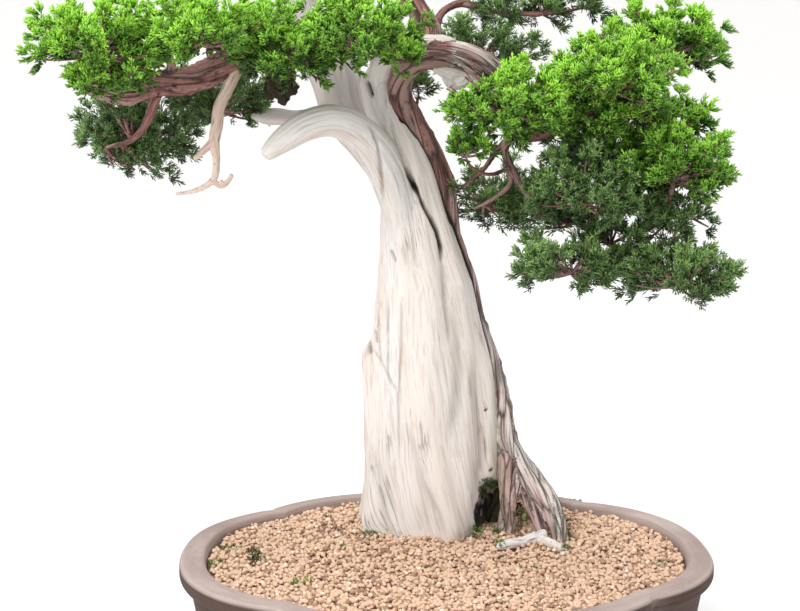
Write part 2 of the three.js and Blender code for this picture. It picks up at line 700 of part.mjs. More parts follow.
const tree = new THREE.Group();
const potGroup = new THREE.Group();
potGroup.rotation.z = POT_TURN;
tree.add(potGroup);

function addMesh(parent, name, one, material) {
  const mesh = new THREE.Mesh(geometryOf(one), material);
  mesh.name = name;
  parent.add(mesh);
  return mesh;
}

const deadwood = deadwoodSolid(0);
const deadwoodCutter = deadwoodSolid(CLEARANCE);
const livingWood = largestBody(livingWoodSolid(0).subtract(deadwoodCutter));
const livingCutter = livingWoodSolid(CLEARANCE);
const woodCutter = deadwoodCutter.add(livingCutter);
const hangingJin = largestBody(bundle(HANGING_JIN, { sides: 5 }).subtract(livingCutter));
const bareRoot = largestBody(bundle(BARE_ROOT, { sides: 5 }).subtract(woodCutter));
const buried = woodCutter.add(bundle(BARE_ROOT, { sides: 5, grow: CLEARANCE }));

const turnBack = -THREE.MathUtils.radToDeg(POT_TURN);
const screenPockets = [-1, 1].map((side) => {
  const pocket = new THREE.BoxGeometry(SCREEN_SIDE + 0.8, SCREEN_SIDE + 0.8, 6);
  pocket.translate(side * DRAIN_OFFSET, 0, FLOOR_TOP + SCREEN_THICKNESS + 0.7 - 3);
  return solid(pocket);
});
const soil = largestBody(
  soilSolid().subtract(join(screenPockets)).subtract(buried.rotate([0, 0, turnBack])),
);

addMesh(potGroup, 'pot', potSolid(), materials.pot);
addMesh(potGroup, 'soil', soil, materials.soil);
for (const [side, name] of [[-1, 'drainage_screen_left'], [1, 'drainage_screen_right']]) {
  const screen = addMesh(potGroup, name, screenSolid(), materials.screen);
  screen.position.set(side * DRAIN_OFFSET, 0, FLOOR_TOP + 0.3 + SCREEN_THICKNESS / 2);
}
addMesh(tree, 'deadwood_trunk', deadwood, materials.deadwood);
addMesh(tree, 'living_wood', livingWood, materials.bark);
addMesh(tree, 'hanging_jin', hangingJin, materials.jin);
addMesh(tree, 'bare_root', bareRoot, materials.deadwood);

const wood = woodCutter.add(bundle(HANGING_JIN, { sides: 5, grow: CLEARANCE }));
let grown = wood;
PADS.forEach((pad, index) => {
  const others = PADS.filter((other) => other !== pad).map((other) => stemOf(other, GUARD));
  const { body, guard } = padSolid(pad, index, join([grown, ...others]));
  const foliage = largestBody(body.subtract(wood));
  addMesh(tree, pad.name, foliage, pad.light ? materials.foliageLight : materials.foliageDark);
  grown = grown.add(guard);
});

const box = new THREE.Box3().setFromObject(tree, true);
const middle = box.getCenter(new THREE.Vector3());
tree.position.set(-middle.x, -middle.y, -box.min.z);

export default tree;
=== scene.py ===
"""A juniper bonsai in a lobed, unglazed pot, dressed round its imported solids.

Most of the trunk is bleached deadwood. A strip of living bark climbs its right flank, bends
over at the top and carries the branches, with foliage in pads of fine shoots. Stations are in
millimetres from the axis of the pot, with +X to the right, +Y to the back and +Z up, and they
follow the solids. Blender's own lengths are metres.
"""

import json
import math
import random

import bmesh
import bpy
import numpy as np
from mathutils import Euler, Matrix, Vector, noise
from mathutils.kdtree import KDTree

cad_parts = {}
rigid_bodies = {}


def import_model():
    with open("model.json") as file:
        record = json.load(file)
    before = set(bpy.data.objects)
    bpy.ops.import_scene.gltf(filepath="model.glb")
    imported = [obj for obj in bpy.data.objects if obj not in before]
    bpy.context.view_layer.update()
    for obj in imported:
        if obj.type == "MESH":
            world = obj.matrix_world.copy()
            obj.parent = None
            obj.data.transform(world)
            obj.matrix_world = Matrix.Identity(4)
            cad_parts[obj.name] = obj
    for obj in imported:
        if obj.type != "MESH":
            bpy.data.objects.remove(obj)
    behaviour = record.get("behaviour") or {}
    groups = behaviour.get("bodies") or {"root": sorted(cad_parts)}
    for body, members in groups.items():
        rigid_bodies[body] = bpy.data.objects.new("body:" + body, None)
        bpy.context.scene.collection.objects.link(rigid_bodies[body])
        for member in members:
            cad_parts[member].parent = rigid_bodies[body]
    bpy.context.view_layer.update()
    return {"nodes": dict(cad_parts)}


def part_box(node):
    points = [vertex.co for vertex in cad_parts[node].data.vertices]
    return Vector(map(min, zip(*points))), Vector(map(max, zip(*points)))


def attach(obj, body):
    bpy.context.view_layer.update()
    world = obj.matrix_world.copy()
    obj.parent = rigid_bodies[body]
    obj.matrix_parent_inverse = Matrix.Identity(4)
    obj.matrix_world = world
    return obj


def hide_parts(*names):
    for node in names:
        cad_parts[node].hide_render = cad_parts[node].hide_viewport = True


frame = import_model()
nodes = frame["nodes"]

MM = 0.001
pot_low, pot_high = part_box("pot")
POT_AXIS = Vector(((pot_low.x + pot_high.x) / 2, (pot_low.y + pot_high.y) / 2, 0.0))
POT_TURN = math.radians(5)


def place(x, y, z):
    """A point given in millimetres from the axis of the pot, in metres."""
    return POT_AXIS + Vector((x, y, z)) * MM


# ---- Camera, floor and light ---------------------------------------------------------------------

CAMERA_AT = (-46.7, -1580.3, 620.7)
CAMERA_TILT = math.radians(81)
CAMERA_LENS = 72
SENSOR_WIDTH = 36
ROOM_LIGHT = 0.95
# Each light: where it hangs, what it points at, its size, its power and its colour.
LIGHTS = {
    "key": ((-1.5, -1.9, 2.5), (0, 0, 0.45), 1.6, 62, (1.0, 0.985, 0.96)),
    "top": ((0.3, 0.3, 2.9), (0, 0, 0.5), 2.2, 40, (1.0, 1.0, 1.0)),
}
STAGE_RADIUS = 3.4
STAGE_BEND = 1.6
STAGE_HEIGHT = 3.2


def add_camera():
    data = bpy.data.cameras.new("camera")
    data.lens = CAMERA_LENS
    data.sensor_width = SENSOR_WIDTH
    data.dof.use_dof = False
    camera = bpy.data.objects.new("camera", data)
    camera.location = place(*CAMERA_AT)
    camera.rotation_euler = (CAMERA_TILT, 0, 0)
    bpy.context.scene.collection.objects.link(camera)
    bpy.context.scene.camera = camera


def add_area_light(name, at, aim, size, power, colour):
    data = bpy.data.lights.new(name, "AREA")
    data.shape = "DISK"
    data.size = size
    data.energy = power
    data.color = colour
    light = bpy.data.objects.new(name, data)
    light.location = at
    light.rotation_euler = (Vector(aim) - Vector(at)).to_track_quat("-Z", "Y").to_euler()
    bpy.context.scene.collection.objects.link(light)


def add_world(strength):
    world = bpy.data.worlds.new("soft_room")
    world.use_nodes = True
    background = world.node_tree.nodes["Background"]
    background.inputs["Color"].default_value = (1.0, 0.99, 0.975, 1)
    background.inputs["Strength"].default_value = strength
    bpy.context.scene.world = world


# ---- Making and finishing meshes -----------------------------------------------------------------


def link(name, data):
    piece = bpy.data.objects.new(name, data)
    bpy.context.scene.collection.objects.link(piece)
    return piece


def mesh_from(bm, name, recalculate=False):
    """Makes a mesh of a bmesh. One that was spun or grown from cones gets its normals anew."""
    if recalculate:
        bmesh.ops.recalc_face_normals(bm, faces=bm.faces)
    mesh = bpy.data.meshes.new(name)
    bm.to_mesh(mesh)
    bm.free()
    return mesh


def piece_from(bm, name, recalculate=False):
    return link(name, mesh_from(bm, name, recalculate))


def settle(piece):
    """Applies the modifiers of a piece, or the bevel of a curve, and leaves a plain mesh."""
    bpy.context.view_layer.update()
    graph = bpy.context.evaluated_depsgraph_get()
    mesh = bpy.data.meshes.new_from_object(piece.evaluated_get(graph), depsgraph=graph)
    name = piece.name
    bpy.data.objects.remove(piece)
    mesh.name = name
    return link(name, mesh)


def to_frame(piece, turn=0):
    """Brings a finished skin from millimetres round the axis of the pot to the frame's metres."""
    piece.data.transform(Matrix.Translation(POT_AXIS) @ Matrix.Rotation(turn, 4, "Z") @ Matrix.Scale(MM, 4))
    piece.data.shade_smooth()


def vertex_rows(mesh, field="co"):
    """The place, or the normal, of each vertex, as rows of three."""
    rows = np.empty(len(mesh.vertices) * 3, np.float32)
    mesh.vertices.foreach_get(field, rows)
    return rows.reshape(-1, 3).astype(float)


def move_points(mesh, co):
    mesh.vertices.foreach_set("co", co.astype(np.float32).ravel())
    mesh.update()


def write_attribute(mesh, name, values):
    """Gives each vertex a number, or a vector where the values are rows of three."""
    values = np.asarray(values, np.float32)
    kind, field = ("FLOAT_VECTOR", "vector") if values.ndim == 2 else ("FLOAT", "value")
    mesh.attributes.new(name, kind, "POINT").data.foreach_set(field, values.ravel())


def finish_piece(piece, material, slot, *replaced):
    """Gives a piece its material, the body that it rides on and the nodes that it replaces. slot is not used.
    """
    piece.data.materials.clear()
    piece.data.materials.append(material)
    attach(piece, "root")
    for node in replaced:
        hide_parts(node)


def outline(bm, corners):
    """Joins the corners (x, z) of half a section with edges, and gives back their vertices."""
    line = [bm.verts.new((x, 0, z)) for x, z in corners]
    for a, b in zip(line, line[1:]):
        bm.edges.new((a, b))
    return line


def round_corners(bm, corners, offset, segments):
    bmesh.ops.bevel(bm, geom=corners, offset=offset, affect="VERTICES", segments=segments, profile=0.5,
                    material=-1)


def spin_outline(bm, steps, merge):
    """Turns an outline once round the axis, and closes its seam and its poles."""
    bmesh.ops.spin(bm, geom=bm.verts[:] + bm.edges[:], axis=(0, 0, 1), cent=(0, 0, 0), steps=steps,
                   angle=math.tau, use_merge=True)
    bmesh.ops.remove_doubles(bm, verts=bm.verts, dist=merge)


# ---- Small sums ----------------------------------------------------------------------------------


def clipped(value, low=0, high=1):
    return min(high, max(low, value))


def perlin(x, y, z):
    return noise.noise(Vector((x, y, z)))


def on_bend(start, bend, end, t):
    """The point at share t of a line that leaves start towards bend and comes to end from there."""
    return start.lerp(bend, t).lerp(bend.lerp(end, t), t)


# ---- Materials: shared effects -------------------------------------------------------------------


class Wiring:
    """Places and joins the nodes of one material or group."""

    def __init__(self, tree):
        self.tree = tree

    def join(self, socket, value):
        """Links an output to a socket, or sets the socket to a number, a vector or a colour."""
        if isinstance(value, bpy.types.NodeSocket):
            self.tree.links.new(value, socket)
        elif socket.type == "RGBA":
            socket.default_value = (*value, 1)
        else:
            socket.default_value = value

    def add(self, kind, settings=None, **inputs):
        """A node with its settings, and its inputs by name, with _ where the name has a space."""
        node = self.tree.nodes.new(kind)
        for key, value in (settings or {}).items():
            setattr(node, key, value)
        for key, value in inputs.items():
            label = key.replace("_", " ").lower()
            self.join(next(s for s in node.inputs if s.name.lower() == label and s.enabled), value)
        return node

    def math(self, operation, *values, clamp=False):
        node = self.add("ShaderNodeMath", {"operation": operation, "use_clamp": clamp})
        for socket, value in zip(node.inputs, values):
            self.join(socket, value)
        return node.outputs[0]

    def times(self, first, second):
        return self.math("MULTIPLY", first, second)

    def scaled(self, value, factor, plus):
        return self.math("MULTIPLY_ADD", value, factor, plus)

    def mix(self, factor, first, second, blend="MIX"):
        node = self.add("ShaderNodeMix", {"data_type": "RGBA", "blend_type": blend, "clamp_factor": True})
        for index, value in zip((0, 6, 7), (factor, first, second)):
            self.join(node.inputs[index], value)
        return node.outputs[2]

    def ramp(self, value, stops):
        """stops are (position, value) for a mask, or (position, colour)."""
        node = self.tree.nodes.new("ShaderNodeValToRGB")
        elements = node.color_ramp.elements
        while len(elements) < len(stops):
            elements.new(0.5)
        for element, (position, shade) in zip(elements, stops):
            element.position = position
            element.color = (*shade, 1) if isinstance(shade, tuple) else (shade, shade, shade, 1)
        self.tree.links.new(value, node.inputs[0])
        return node.outputs[0]

    def noise(self, vector, scale, detail=3.0, roughness=0.55):
        node = self.add("ShaderNodeTexNoise", Vector=vector, Scale=scale, Detail=detail,
                        Roughness=roughness)
        return node.outputs["Fac"]

    def stretched(self, vector, scale):
        return self.add("ShaderNodeMapping", Vector=vector, Scale=scale).outputs["Vector"]

    def vector_math(self, operation, *values):
        node = self.add("ShaderNodeVectorMath", {"operation": operation})
        for socket, value in zip(node.inputs, values):
            self.join(socket, value)
        return node.outputs[0]

    def warped(self, vector, scale, amount):
        """The vector pushed about by a soft noise, so that what is drawn on it wanders."""
        cloud = self.add("ShaderNodeTexNoise", Vector=vector, Scale=scale, Detail=2.0).outputs["Color"]
        return self.vector_math("MULTIPLY_ADD", cloud, (amount, amount, amount), vector)

    def attribute(self, name, output="Fac"):
        node = self.add("ShaderNodeAttribute", {"attribute_name": name})
        return node.outputs[output]

    def position(self):
        return self.add("ShaderNodeTexCoord").outputs["Object"]

    def upward(self):
        """1 where the surface faces up, 0 on a side and -1 underneath."""
        normal = self.add("ShaderNodeNewGeometry").outputs["Normal"]
        return self.add("ShaderNodeSeparateXYZ", Vector=normal).outputs["Z"]

    def group(self, group, **inputs):
        return self.add("ShaderNodeGroup", {"node_tree": group}, **inputs).outputs


def open_group(name, numbers):
    """A shader node group that is drawn on a Vector and takes numbers, given as {label: value}."""
    group = bpy.data.node_groups.new(name, "ShaderNodeTree")
    group.interface.new_socket("Vector", in_out="INPUT", socket_type="NodeSocketVector")
    for label, value in numbers.items():
        socket = group.interface.new_socket(label, in_out="INPUT", socket_type="NodeSocketFloat")
        socket.default_value = value
    wiring = Wiring(group)
    return wiring, wiring.add("NodeGroupInput").outputs


def close_group(wiring, **outputs):
    """Gives the group its outputs, one for each value, and gives the group back."""
    for label in outputs:
        wiring.tree.interface.new_socket(label, in_out="OUTPUT", socket_type="NodeSocketFloat")
    wiring.add("NodeGroupOutput", **outputs)
    return wiring.tree


def fibre_group():
    """Wood fibre: fine lines drawn out along the grain, cracks among them, and slow blotches."""
    wiring, source = open_group("wood_fibre", {"Fibre Scale": 400.0, "Stretch": 0.05, "Crack Width": 0.05,
                                               "Crack Scale": 90.0})
    along = wiring.add("ShaderNodeCombineXYZ", X=1.0, Y=1.0, Z=source["Stretch"]).outputs[0]
    drawn = wiring.vector_math("MULTIPLY", source["Vector"], along)
    line = wiring.noise(drawn, source["Fibre Scale"], roughness=0.62)
    crack_field = wiring.noise(drawn, source["Crack Scale"])
    from_middle = wiring.math("ABSOLUTE", wiring.math("SUBTRACT", crack_field, 0.5))
    from_line = wiring.math("DIVIDE", from_middle, source["Crack Width"])
    crack = wiring.math("SUBTRACT", 1.0, from_line, clamp=True)
    patches = wiring.noise(wiring.stretched(source["Vector"], (1, 1, 0.22)), 34.0, detail=2.0)
    crack = wiring.times(crack, wiring.ramp(patches, [(0.53, 0.0), (0.62, 1.0)]))
    blotch = wiring.noise(wiring.stretched(source["Vector"], (1, 1, 0.35)), 17.0, roughness=0.6)
    height = wiring.math("SUBTRACT", line, wiring.times(crack, 1.2))
    return close_group(wiring, Fibre=line, Cracks=crack, Blotch=blotch, Height=height)


def speckle_group():
    """Fine grain of fired clay, soil and small plants: grit, pores and a soft cloud."""
    wiring, source = open_group("speckle", {"Grit Scale": 900.0, "Cloud Scale": 12.0})
    grit = wiring.noise(source["Vector"], source["Grit Scale"], roughness=0.7)
    cells = wiring.add("ShaderNodeTexVoronoi", {"feature": "F1"}, Vector=source["Vector"],
                       Scale=wiring.times(source["Grit Scale"], 0.45))
    pores = wiring.ramp(cells.outputs["Distance"], [(0.06, 1.0), (0.2, 0.0)])
    cloud = wiring.noise(source["Vector"], source["Cloud Scale"], detail=4.0, roughness=0.6)
    height = wiring.math("SUBTRACT", grit, wiring.times(pores, 0.8))
    return close_group(wiring, Grit=grit, Pores=pores, Cloud=cloud, Height=height)


FIBRE = fibre_group()
SPECKLE = speckle_group()


# ---- Materials -----------------------------------------------------------------------------------


def new_material(name, roughness, specular):
    """A material with the wiring of its nodes and its shader, to be coloured and bumped."""
    material = bpy.data.materials.new(name)
    material.use_nodes = True
    tree = material.node_tree
    shader = tree.nodes["Principled BSDF"]
    shader.inputs["Roughness"].default_value = roughness
    shader.inputs["Specular IOR Level"].default_value = specular
    return material, Wiring(tree), shader


def bumped(wiring, shader, height, strength, distance):
    bump = wiring.add("ShaderNodeBump", Strength=strength, Distance=distance, Height=height)
    wiring.tree.links.new(bump.outputs["Normal"], shader.inputs["Normal"])


def coloured(wiring, shader, colour, roughness=None):
    wiring.tree.links.new(colour, shader.inputs["Base Color"])
    if roughness is not None:
        wiring.tree.links.new(roughness, shader.inputs["Roughness"])


def deadwood_material(name, pale, warm, rosy, crack_shade):
    """Bleached wood. The grain runs along the trunk, or along a limb where limb is 1. The mask that
    is 1 in the clefts and the hollow foot is painted shade, stain is 1 where old cracks are pink and grey is
    1 where weather turned it grey, deepened into painted shade on the limbs at the back."""
    material, wiring, shader = new_material(name, roughness=0.8, specular=0.25)
    layers = []
    for source in ("grain", "limb_grain"):
        grain = wiring.warped(wiring.attribute(source, "Vector"), 16.0, 0.004)
        fibre = wiring.group(FIBRE, Vector=grain, Fibre_Scale=430.0, Stretch=0.04, Crack_Width=0.02,
                             Crack_Scale=150.0)
        streak = wiring.noise(wiring.stretched(grain, (1, 1, 0.03)), 46.0)
        layers.append((fibre["Fibre"], fibre["Cracks"], fibre["Blotch"], fibre["Height"], streak))
    limb = wiring.attribute("limb")
    line, crack, blotch, height, streak = [
        wiring.scaled(limb, wiring.math("SUBTRACT", other, first), first) for first, other in zip(*layers)
    ]
    colour = wiring.mix(wiring.ramp(streak, [(0.36, 0.0), (0.66, 1.0)]), pale, warm)
    stain = wiring.attribute("stain")
    patch = wiring.ramp(blotch, [(0.5, 0.0), (0.6, 1.0)])
    pink = wiring.times(wiring.scaled(stain, 0.8, 0.16), patch)
    dark_lines = wiring.ramp(line, [(0.41, 1.0), (0.485, 0.0)])
    colour = wiring.mix(wiring.times(pink, wiring.scaled(dark_lines, 0.75, 0.25)), colour, rosy)
    line_shade = tuple(0.5 * w + 0.25 * r + 0.25 * c for w, r, c in zip(warm, rosy, crack_shade))
    colour = wiring.mix(wiring.times(dark_lines, 0.55), colour, line_shade)
    deep_crack = wiring.times(crack, wiring.scaled(stain, 0.4, 0.5))
    colour = wiring.mix(deep_crack, colour, crack_shade)
    # Weather-grey, and on the limbs at the back painted shade, multiplied into the colour.
    weathered = wiring.times(wiring.attribute("grey"), wiring.ramp(streak, [(0.4, 1.0), (0.6, 0.35)]))
    colour = wiring.mix(weathered, colour, (0.3, 0.28, 0.26), blend="MULTIPLY")
    # Painted shade: clefts, grooves and the hollow foot go nearly black.
    colour = wiring.mix(wiring.attribute("worn"), colour, tuple(part * 0.1 for part in crack_shade))
    colour = wiring.mix(wiring.attribute("moss"), colour, (0.16, 0.2, 0.075))
    coloured(wiring, shader, colour)
    bumped(wiring, shader, height, strength=0.65, distance=0.0012)
    return material


def bark_material():
    """Red-brown juniper bark in long plates, greyer and rosier by the roots, pale at its old end."""
    material, wiring, shader = new_material("juniper_bark", roughness=0.75, specular=0.3)
    grain = wiring.attribute("grain", "Vector")
    fibre = wiring.group(FIBRE, Vector=grain, Fibre_Scale=380.0, Stretch=0.05, Crack_Width=0.05,
                         Crack_Scale=120.0)
    plates_at = wiring.warped(wiring.stretched(grain, (1, 1, 0.13)), 90.0, 0.012)
    edges, tint = [wiring.add("ShaderNodeTexVoronoi", {"feature": feature}, Vector=plates_at, Scale=85.0)
                   for feature in ("DISTANCE_TO_EDGE", "F1")]
    rim = wiring.ramp(edges.outputs["Distance"], [(0.0, 1.0), (0.09, 0.0)])
    red = wiring.mix(wiring.ramp(fibre["Fibre"], [(0.35, 0.0), (0.65, 1.0)]), (0.17, 0.075, 0.068),
                     (0.37, 0.185, 0.165))
    flaky = wiring.ramp(tint.outputs["Color"], [(0.5, 0.0), (0.62, 1.0)])
    red = wiring.mix(wiring.times(flaky, 0.5), red, (0.4, 0.3, 0.26))
    grey = wiring.mix(wiring.ramp(fibre["Fibre"], [(0.4, 0.0), (0.58, 1.0)]), (0.22, 0.18, 0.17),
                      (0.7, 0.64, 0.61))
    pink = wiring.ramp(wiring.noise(wiring.stretched(grain, (1, 1, 0.12)), 42.0), [(0.44, 0.0), (0.53, 1.0)])
    grey = wiring.mix(wiring.times(pink, 0.65), grey, (0.6, 0.36, 0.34))
    colour = wiring.mix(wiring.attribute("old"), red, grey)
    colour = wiring.mix(wiring.times(rim, 0.85), colour, (0.05, 0.028, 0.024))
    colour = wiring.mix(wiring.times(fibre["Cracks"], 0.8), colour, (0.03, 0.016, 0.013))
    # Painted shade: grooves, cracks between plates, the line by the bare wood and the root in the hollow foot
    # go nearly black.
    colour = wiring.mix(wiring.attribute("worn"), colour, (0.02, 0.012, 0.01))
    colour = wiring.mix(wiring.attribute("moss"), colour, (0.09, 0.14, 0.035))
    coloured(wiring, shader, colour)
    height = wiring.math("SUBTRACT", fibre["Height"], wiring.times(rim, 0.9))
    bumped(wiring, shader, height, strength=0.8, distance=0.0016)
    return material


def foliage_material(name, deep, middle, fresh):
    """Scaly shoots. light is how much of the sky a shoot sees, tip runs from 0 to 1 along it."""
    material, wiring, shader = new_material(name, roughness=0.5, specular=0.35)
    light = wiring.attribute("light")
    tip = wiring.attribute("tip")
    where = wiring.position()
    cloud = wiring.noise(where, 30.0, detail=2.0)
    # Painted light: how much of the sky a shoot sees, with a soft random tint, takes it from deep green to
    # lime; better-lit shoots get brighter tips.
    sky_light_and_tint = wiring.math("ADD", light, wiring.scaled(cloud, 0.4, -0.2))
    colour = wiring.ramp(sky_light_and_tint, [(0.2, deep), (0.5, middle), (0.84, fresh)])
    towards_tip = wiring.times(wiring.math("POWER", tip, 1.6), wiring.math("ADD", sky_light_and_tint, 0.3))
    colour = wiring.mix(towards_tip, colour, fresh)
    base = wiring.times(wiring.math("SUBTRACT", 1.0, tip), 0.45)
    colour = wiring.mix(base, colour, deep)
    scales = wiring.noise(where, 900.0, detail=1.0)
    dark = tuple(part * 0.35 for part in deep)
    colour = wiring.mix(wiring.ramp(scales, [(0.4, 0.3), (0.56, 0.0)]), colour, dark)
    coloured(wiring, shader, colour)
    bumped(wiring, shader, scales, strength=0.5, distance=0.0008)
    return material


def soil_material(name, dry, warm, pale, dark):
    """Baked clay. tone is each grain's own shade, dark under 0.3 and pale at 1; undersides get painted shade.
    """
    material, wiring, shader = new_material(name, roughness=0.95, specular=0.15)
    where = wiring.position()
    speckle = wiring.group(SPECKLE, Vector=where, Grit_Scale=1100.0, Cloud_Scale=9.0)
    tone = wiring.attribute("tone")
    colour = wiring.ramp(tone, [(0.0, (0.05, 0.03, 0.02)), (0.07, dark), (0.22, dark), (0.36, dry),
                                (0.6, warm), (0.8, dry), (0.93, dry), (1.0, pale)])
    colour = wiring.mix(wiring.ramp(speckle["Cloud"], [(0.4, 0.0), (0.62, 0.3)]), colour, dry)
    colour = wiring.mix(wiring.times(speckle["Pores"], 0.3), colour, dark)
    # Painted shade: the sides and undersides of each grain are darkened as if in their own shadow.
    painted_underside_shade = wiring.ramp(wiring.scaled(wiring.upward(), 0.5, 0.5), [(0.3, 0.85), (0.56, 0.0)])
    colour = wiring.mix(painted_underside_shade, colour, tuple(part * 0.4 for part in dark))
    coloured(wiring, shader, colour)
    bumped(wiring, shader, speckle["Height"], strength=0.6, distance=0.0006)
    return material


def clay_material():
    """Fired, unglazed clay, pale and scuffed on the lip. wall is 1 on the outside below the lip, which is
    browner clay and painted shade under the lip, with turned lines, and edge is 1 along corners and creases,
    which get painted highlights."""
    material, wiring, shader = new_material("unglazed_clay", roughness=0.75, specular=0.2)
    where = wiring.position()
    speckle = wiring.group(SPECKLE, Vector=where, Grit_Scale=1300.0, Cloud_Scale=8.0)
    base = wiring.mix(wiring.ramp(speckle["Cloud"], [(0.35, 0.0), (0.66, 1.0)]), (0.38, 0.292, 0.268),
                      (0.48, 0.39, 0.362))
    drag = wiring.noise(wiring.stretched(where, (4, 4, 260)), 2.4, detail=4.0, roughness=0.65)
    base = wiring.mix(wiring.ramp(drag, [(0.42, 0.28), (0.62, 0.0)]), base, (0.13, 0.094, 0.08))
    base = wiring.mix(wiring.times(speckle["Pores"], 0.35), base, (0.08, 0.06, 0.05))
    lime = wiring.ramp(wiring.noise(where, 26.0, detail=5.0, roughness=0.7), [(0.62, 0.0), (0.7, 0.5)])
    base = wiring.mix(lime, base, (0.46, 0.39, 0.36))
    # The outside wall: darker brown clay, made darker still as painted shade under the lip.
    brown = wiring.mix(wiring.ramp(drag, [(0.36, 0.0), (0.66, 1.0)]), (0.042, 0.021, 0.016),
                       (0.085, 0.052, 0.043))
    brown = wiring.mix(wiring.ramp(speckle["Cloud"], [(0.45, 0.0), (0.7, 0.5)]), brown, (0.11, 0.072, 0.06))
    base = wiring.mix(wiring.attribute("wall"), base, brown)
    # Painted highlights along the lip's edges and the creases, broken into patches.
    patchy = wiring.ramp(wiring.noise(where, 55.0), [(0.3, 0.1), (0.7, 0.5)])
    painted_edge_highlight = wiring.times(wiring.attribute("edge"), patchy)
    base = wiring.mix(painted_edge_highlight, base, (0.55, 0.465, 0.43))
    coloured(wiring, shader, base, wiring.ramp(speckle["Cloud"], [(0.3, 0.62), (0.7, 0.78)]))
    height = wiring.math("ADD", speckle["Height"], wiring.times(drag, 1.2))
    bumped(wiring, shader, height, strength=0.35, distance=0.0008)
    return material


def screen_material():
    material, wiring, shader = new_material("screen_plastic", roughness=0.5, specular=0.4)
    speckle = wiring.group(SPECKLE, Vector=wiring.position(), Grit_Scale=700.0, Cloud_Scale=30.0)
    colour = wiring.mix(speckle["Cloud"], (0.012, 0.014, 0.016), (0.035, 0.038, 0.042))
    coloured(wiring, shader, colour, wiring.ramp(speckle["Grit"], [(0.3, 0.4), (0.7, 0.65)]))
    bumped(wiring, shader, speckle["Height"], strength=0.25, distance=0.0004)
    return material


def moss_material(name, deep, fresh):
    """Moss, or rough old growth: light runs from the deep to the fresh colour. On moss it is how green each
    spray is; on the burl it is painted light, brighter on top and on the raised knobs.
    """
    material, wiring, shader = new_material(name, roughness=0.9, specular=0.2)
    where = wiring.position()
    speckle = wiring.group(SPECKLE, Vector=where, Grit_Scale=500.0, Cloud_Scale=60.0)
    colour = wiring.mix(wiring.attribute("light"), deep, fresh)
    colour = wiring.mix(wiring.ramp(speckle["Cloud"], [(0.4, 0.5), (0.6, 0.0)]), colour, deep)
    coloured(wiring, shader, colour)
    bumped(wiring, shader, speckle["Height"], strength=0.4, distance=0.0006)
    return material


def stage_material():
    material, wiring, shader = new_material("pale_floor", roughness=0.9, specular=0.1)
    cloud = wiring.noise(wiring.position(), 1.5, detail=2.0)
    coloured(wiring, shader, wiring.mix(cloud, (0.86, 0.86, 0.865), (0.89, 0.89, 0.89)))
    return material


def add_stage():
    """A pale floor whose far edge bends up into a low wall all round."""
    bm = bmesh.new()
    outer = STAGE_RADIUS + STAGE_BEND
    line = outline(bm, [(0, 0), (STAGE_RADIUS, 0), (outer, STAGE_BEND), (outer, STAGE_HEIGHT)])
    round_corners(bm, line[1:3], STAGE_BEND * 0.8, 12)
    spin_outline(bm, 96, 1e-4)
    floor = piece_from(bm, "floor", recalculate=True)
    floor.data.shade_smooth()
    floor.data.flip_normals()
    floor.data.materials.append(stage_material())


add_camera()
add_world(ROOM_LIGHT)
for light_name, light_settings in LIGHTS.items():
    add_area_light(light_name, *light_settings)
add_stage()

# ---- The pot -------------------------------------------------------------------------------------

POT_HALF_LENGTH = 270
POT_HALF_WIDTH = 225
POT_SQUARENESS = 2.2
CREASE_ANGLE = math.radians(42)
CREASE_DEPTH = 14
CREASE_SPREAD = math.radians(28)
CREASE_NICK = 2.6       # the fine line in the middle of each crease
POT_STEPS = 400
WALL_FOOT = (227, 24)   # the wall's outside leans out from this radius and height
WALL_LEAN = 0.226
# Below this height the outside wall is browner clay with painted shade under the lip.
BROWN_AND_SHADED_UP_TO = 115.4
OUTSIDE_FROM = 235      # what lies further out than this, below the top of the lip, is the outside
LIP_TOP = 119
WOBBLE = 0.7            # hand-made unevenness, sideways, and in height from WAVE_FROM up
LIP_WAVE = 0.5
WAVE_FROM = 90
# Half the pot's section, as (radius, height), and how far each corner is rounded.
POT_PROFILE = [
    (0, 12), (220, 12), (228, 15), (252, 50), (260.5, 96), (268.4, 101), (270.4, 104.5), (270.4, 113.6),
    (267.6, 117.8), (249.6, 119.2), (245.4, 118.2), (243.7, 114), (243, 108), (224, 24), (0, 24),
]
ROUNDED = {1: 5, 2: 4, 3: 14, 4: 3, 5: 2, 6: 1.4, 7: 1.6, 8: 1.3, 9: 1.2, 10: 1.2, 11: 1.4, 13: 6}
FEET = {"half_length": 26, "half_width": 13, "height": 14, "softening": 1.6, "spacing": (148, 108),
        "turn": math.radians(38)}
DRAIN_RADIUS = 17
DRAIN_OFFSET = 95
CUTTER_DEPTH = 40
CUTTER_MIDDLE = 16


def crease_gaps(angle):
    """How far an angle is from each of the four creases."""
    return [abs(math.remainder(angle - quarter - side * CREASE_ANGLE, math.tau))
            for quarter in (0, math.pi) for side in (-1, 1)]


def rim_distance(angle):
    """How far the outer rim is from the axis of the pot: a squarish oval, nicked by four creases."""
    along = abs(math.cos(angle) / POT_HALF_LENGTH) ** POT_SQUARENESS
    across = abs(math.sin(angle) / POT_HALF_WIDTH) ** POT_SQUARENESS
    distance = (along + across) ** (-1 / POT_SQUARENESS)
    for gap in crease_gaps(angle):
        distance -= CREASE_DEPTH * max(0.0, 1 - gap / CREASE_SPREAD) ** 2
    return distance


def crease_nearness(angle, spread):
    """1 in the line of a crease, and near 0 further away than spread."""
    return math.exp(-(min(crease_gaps(angle)) / spread) ** 2)


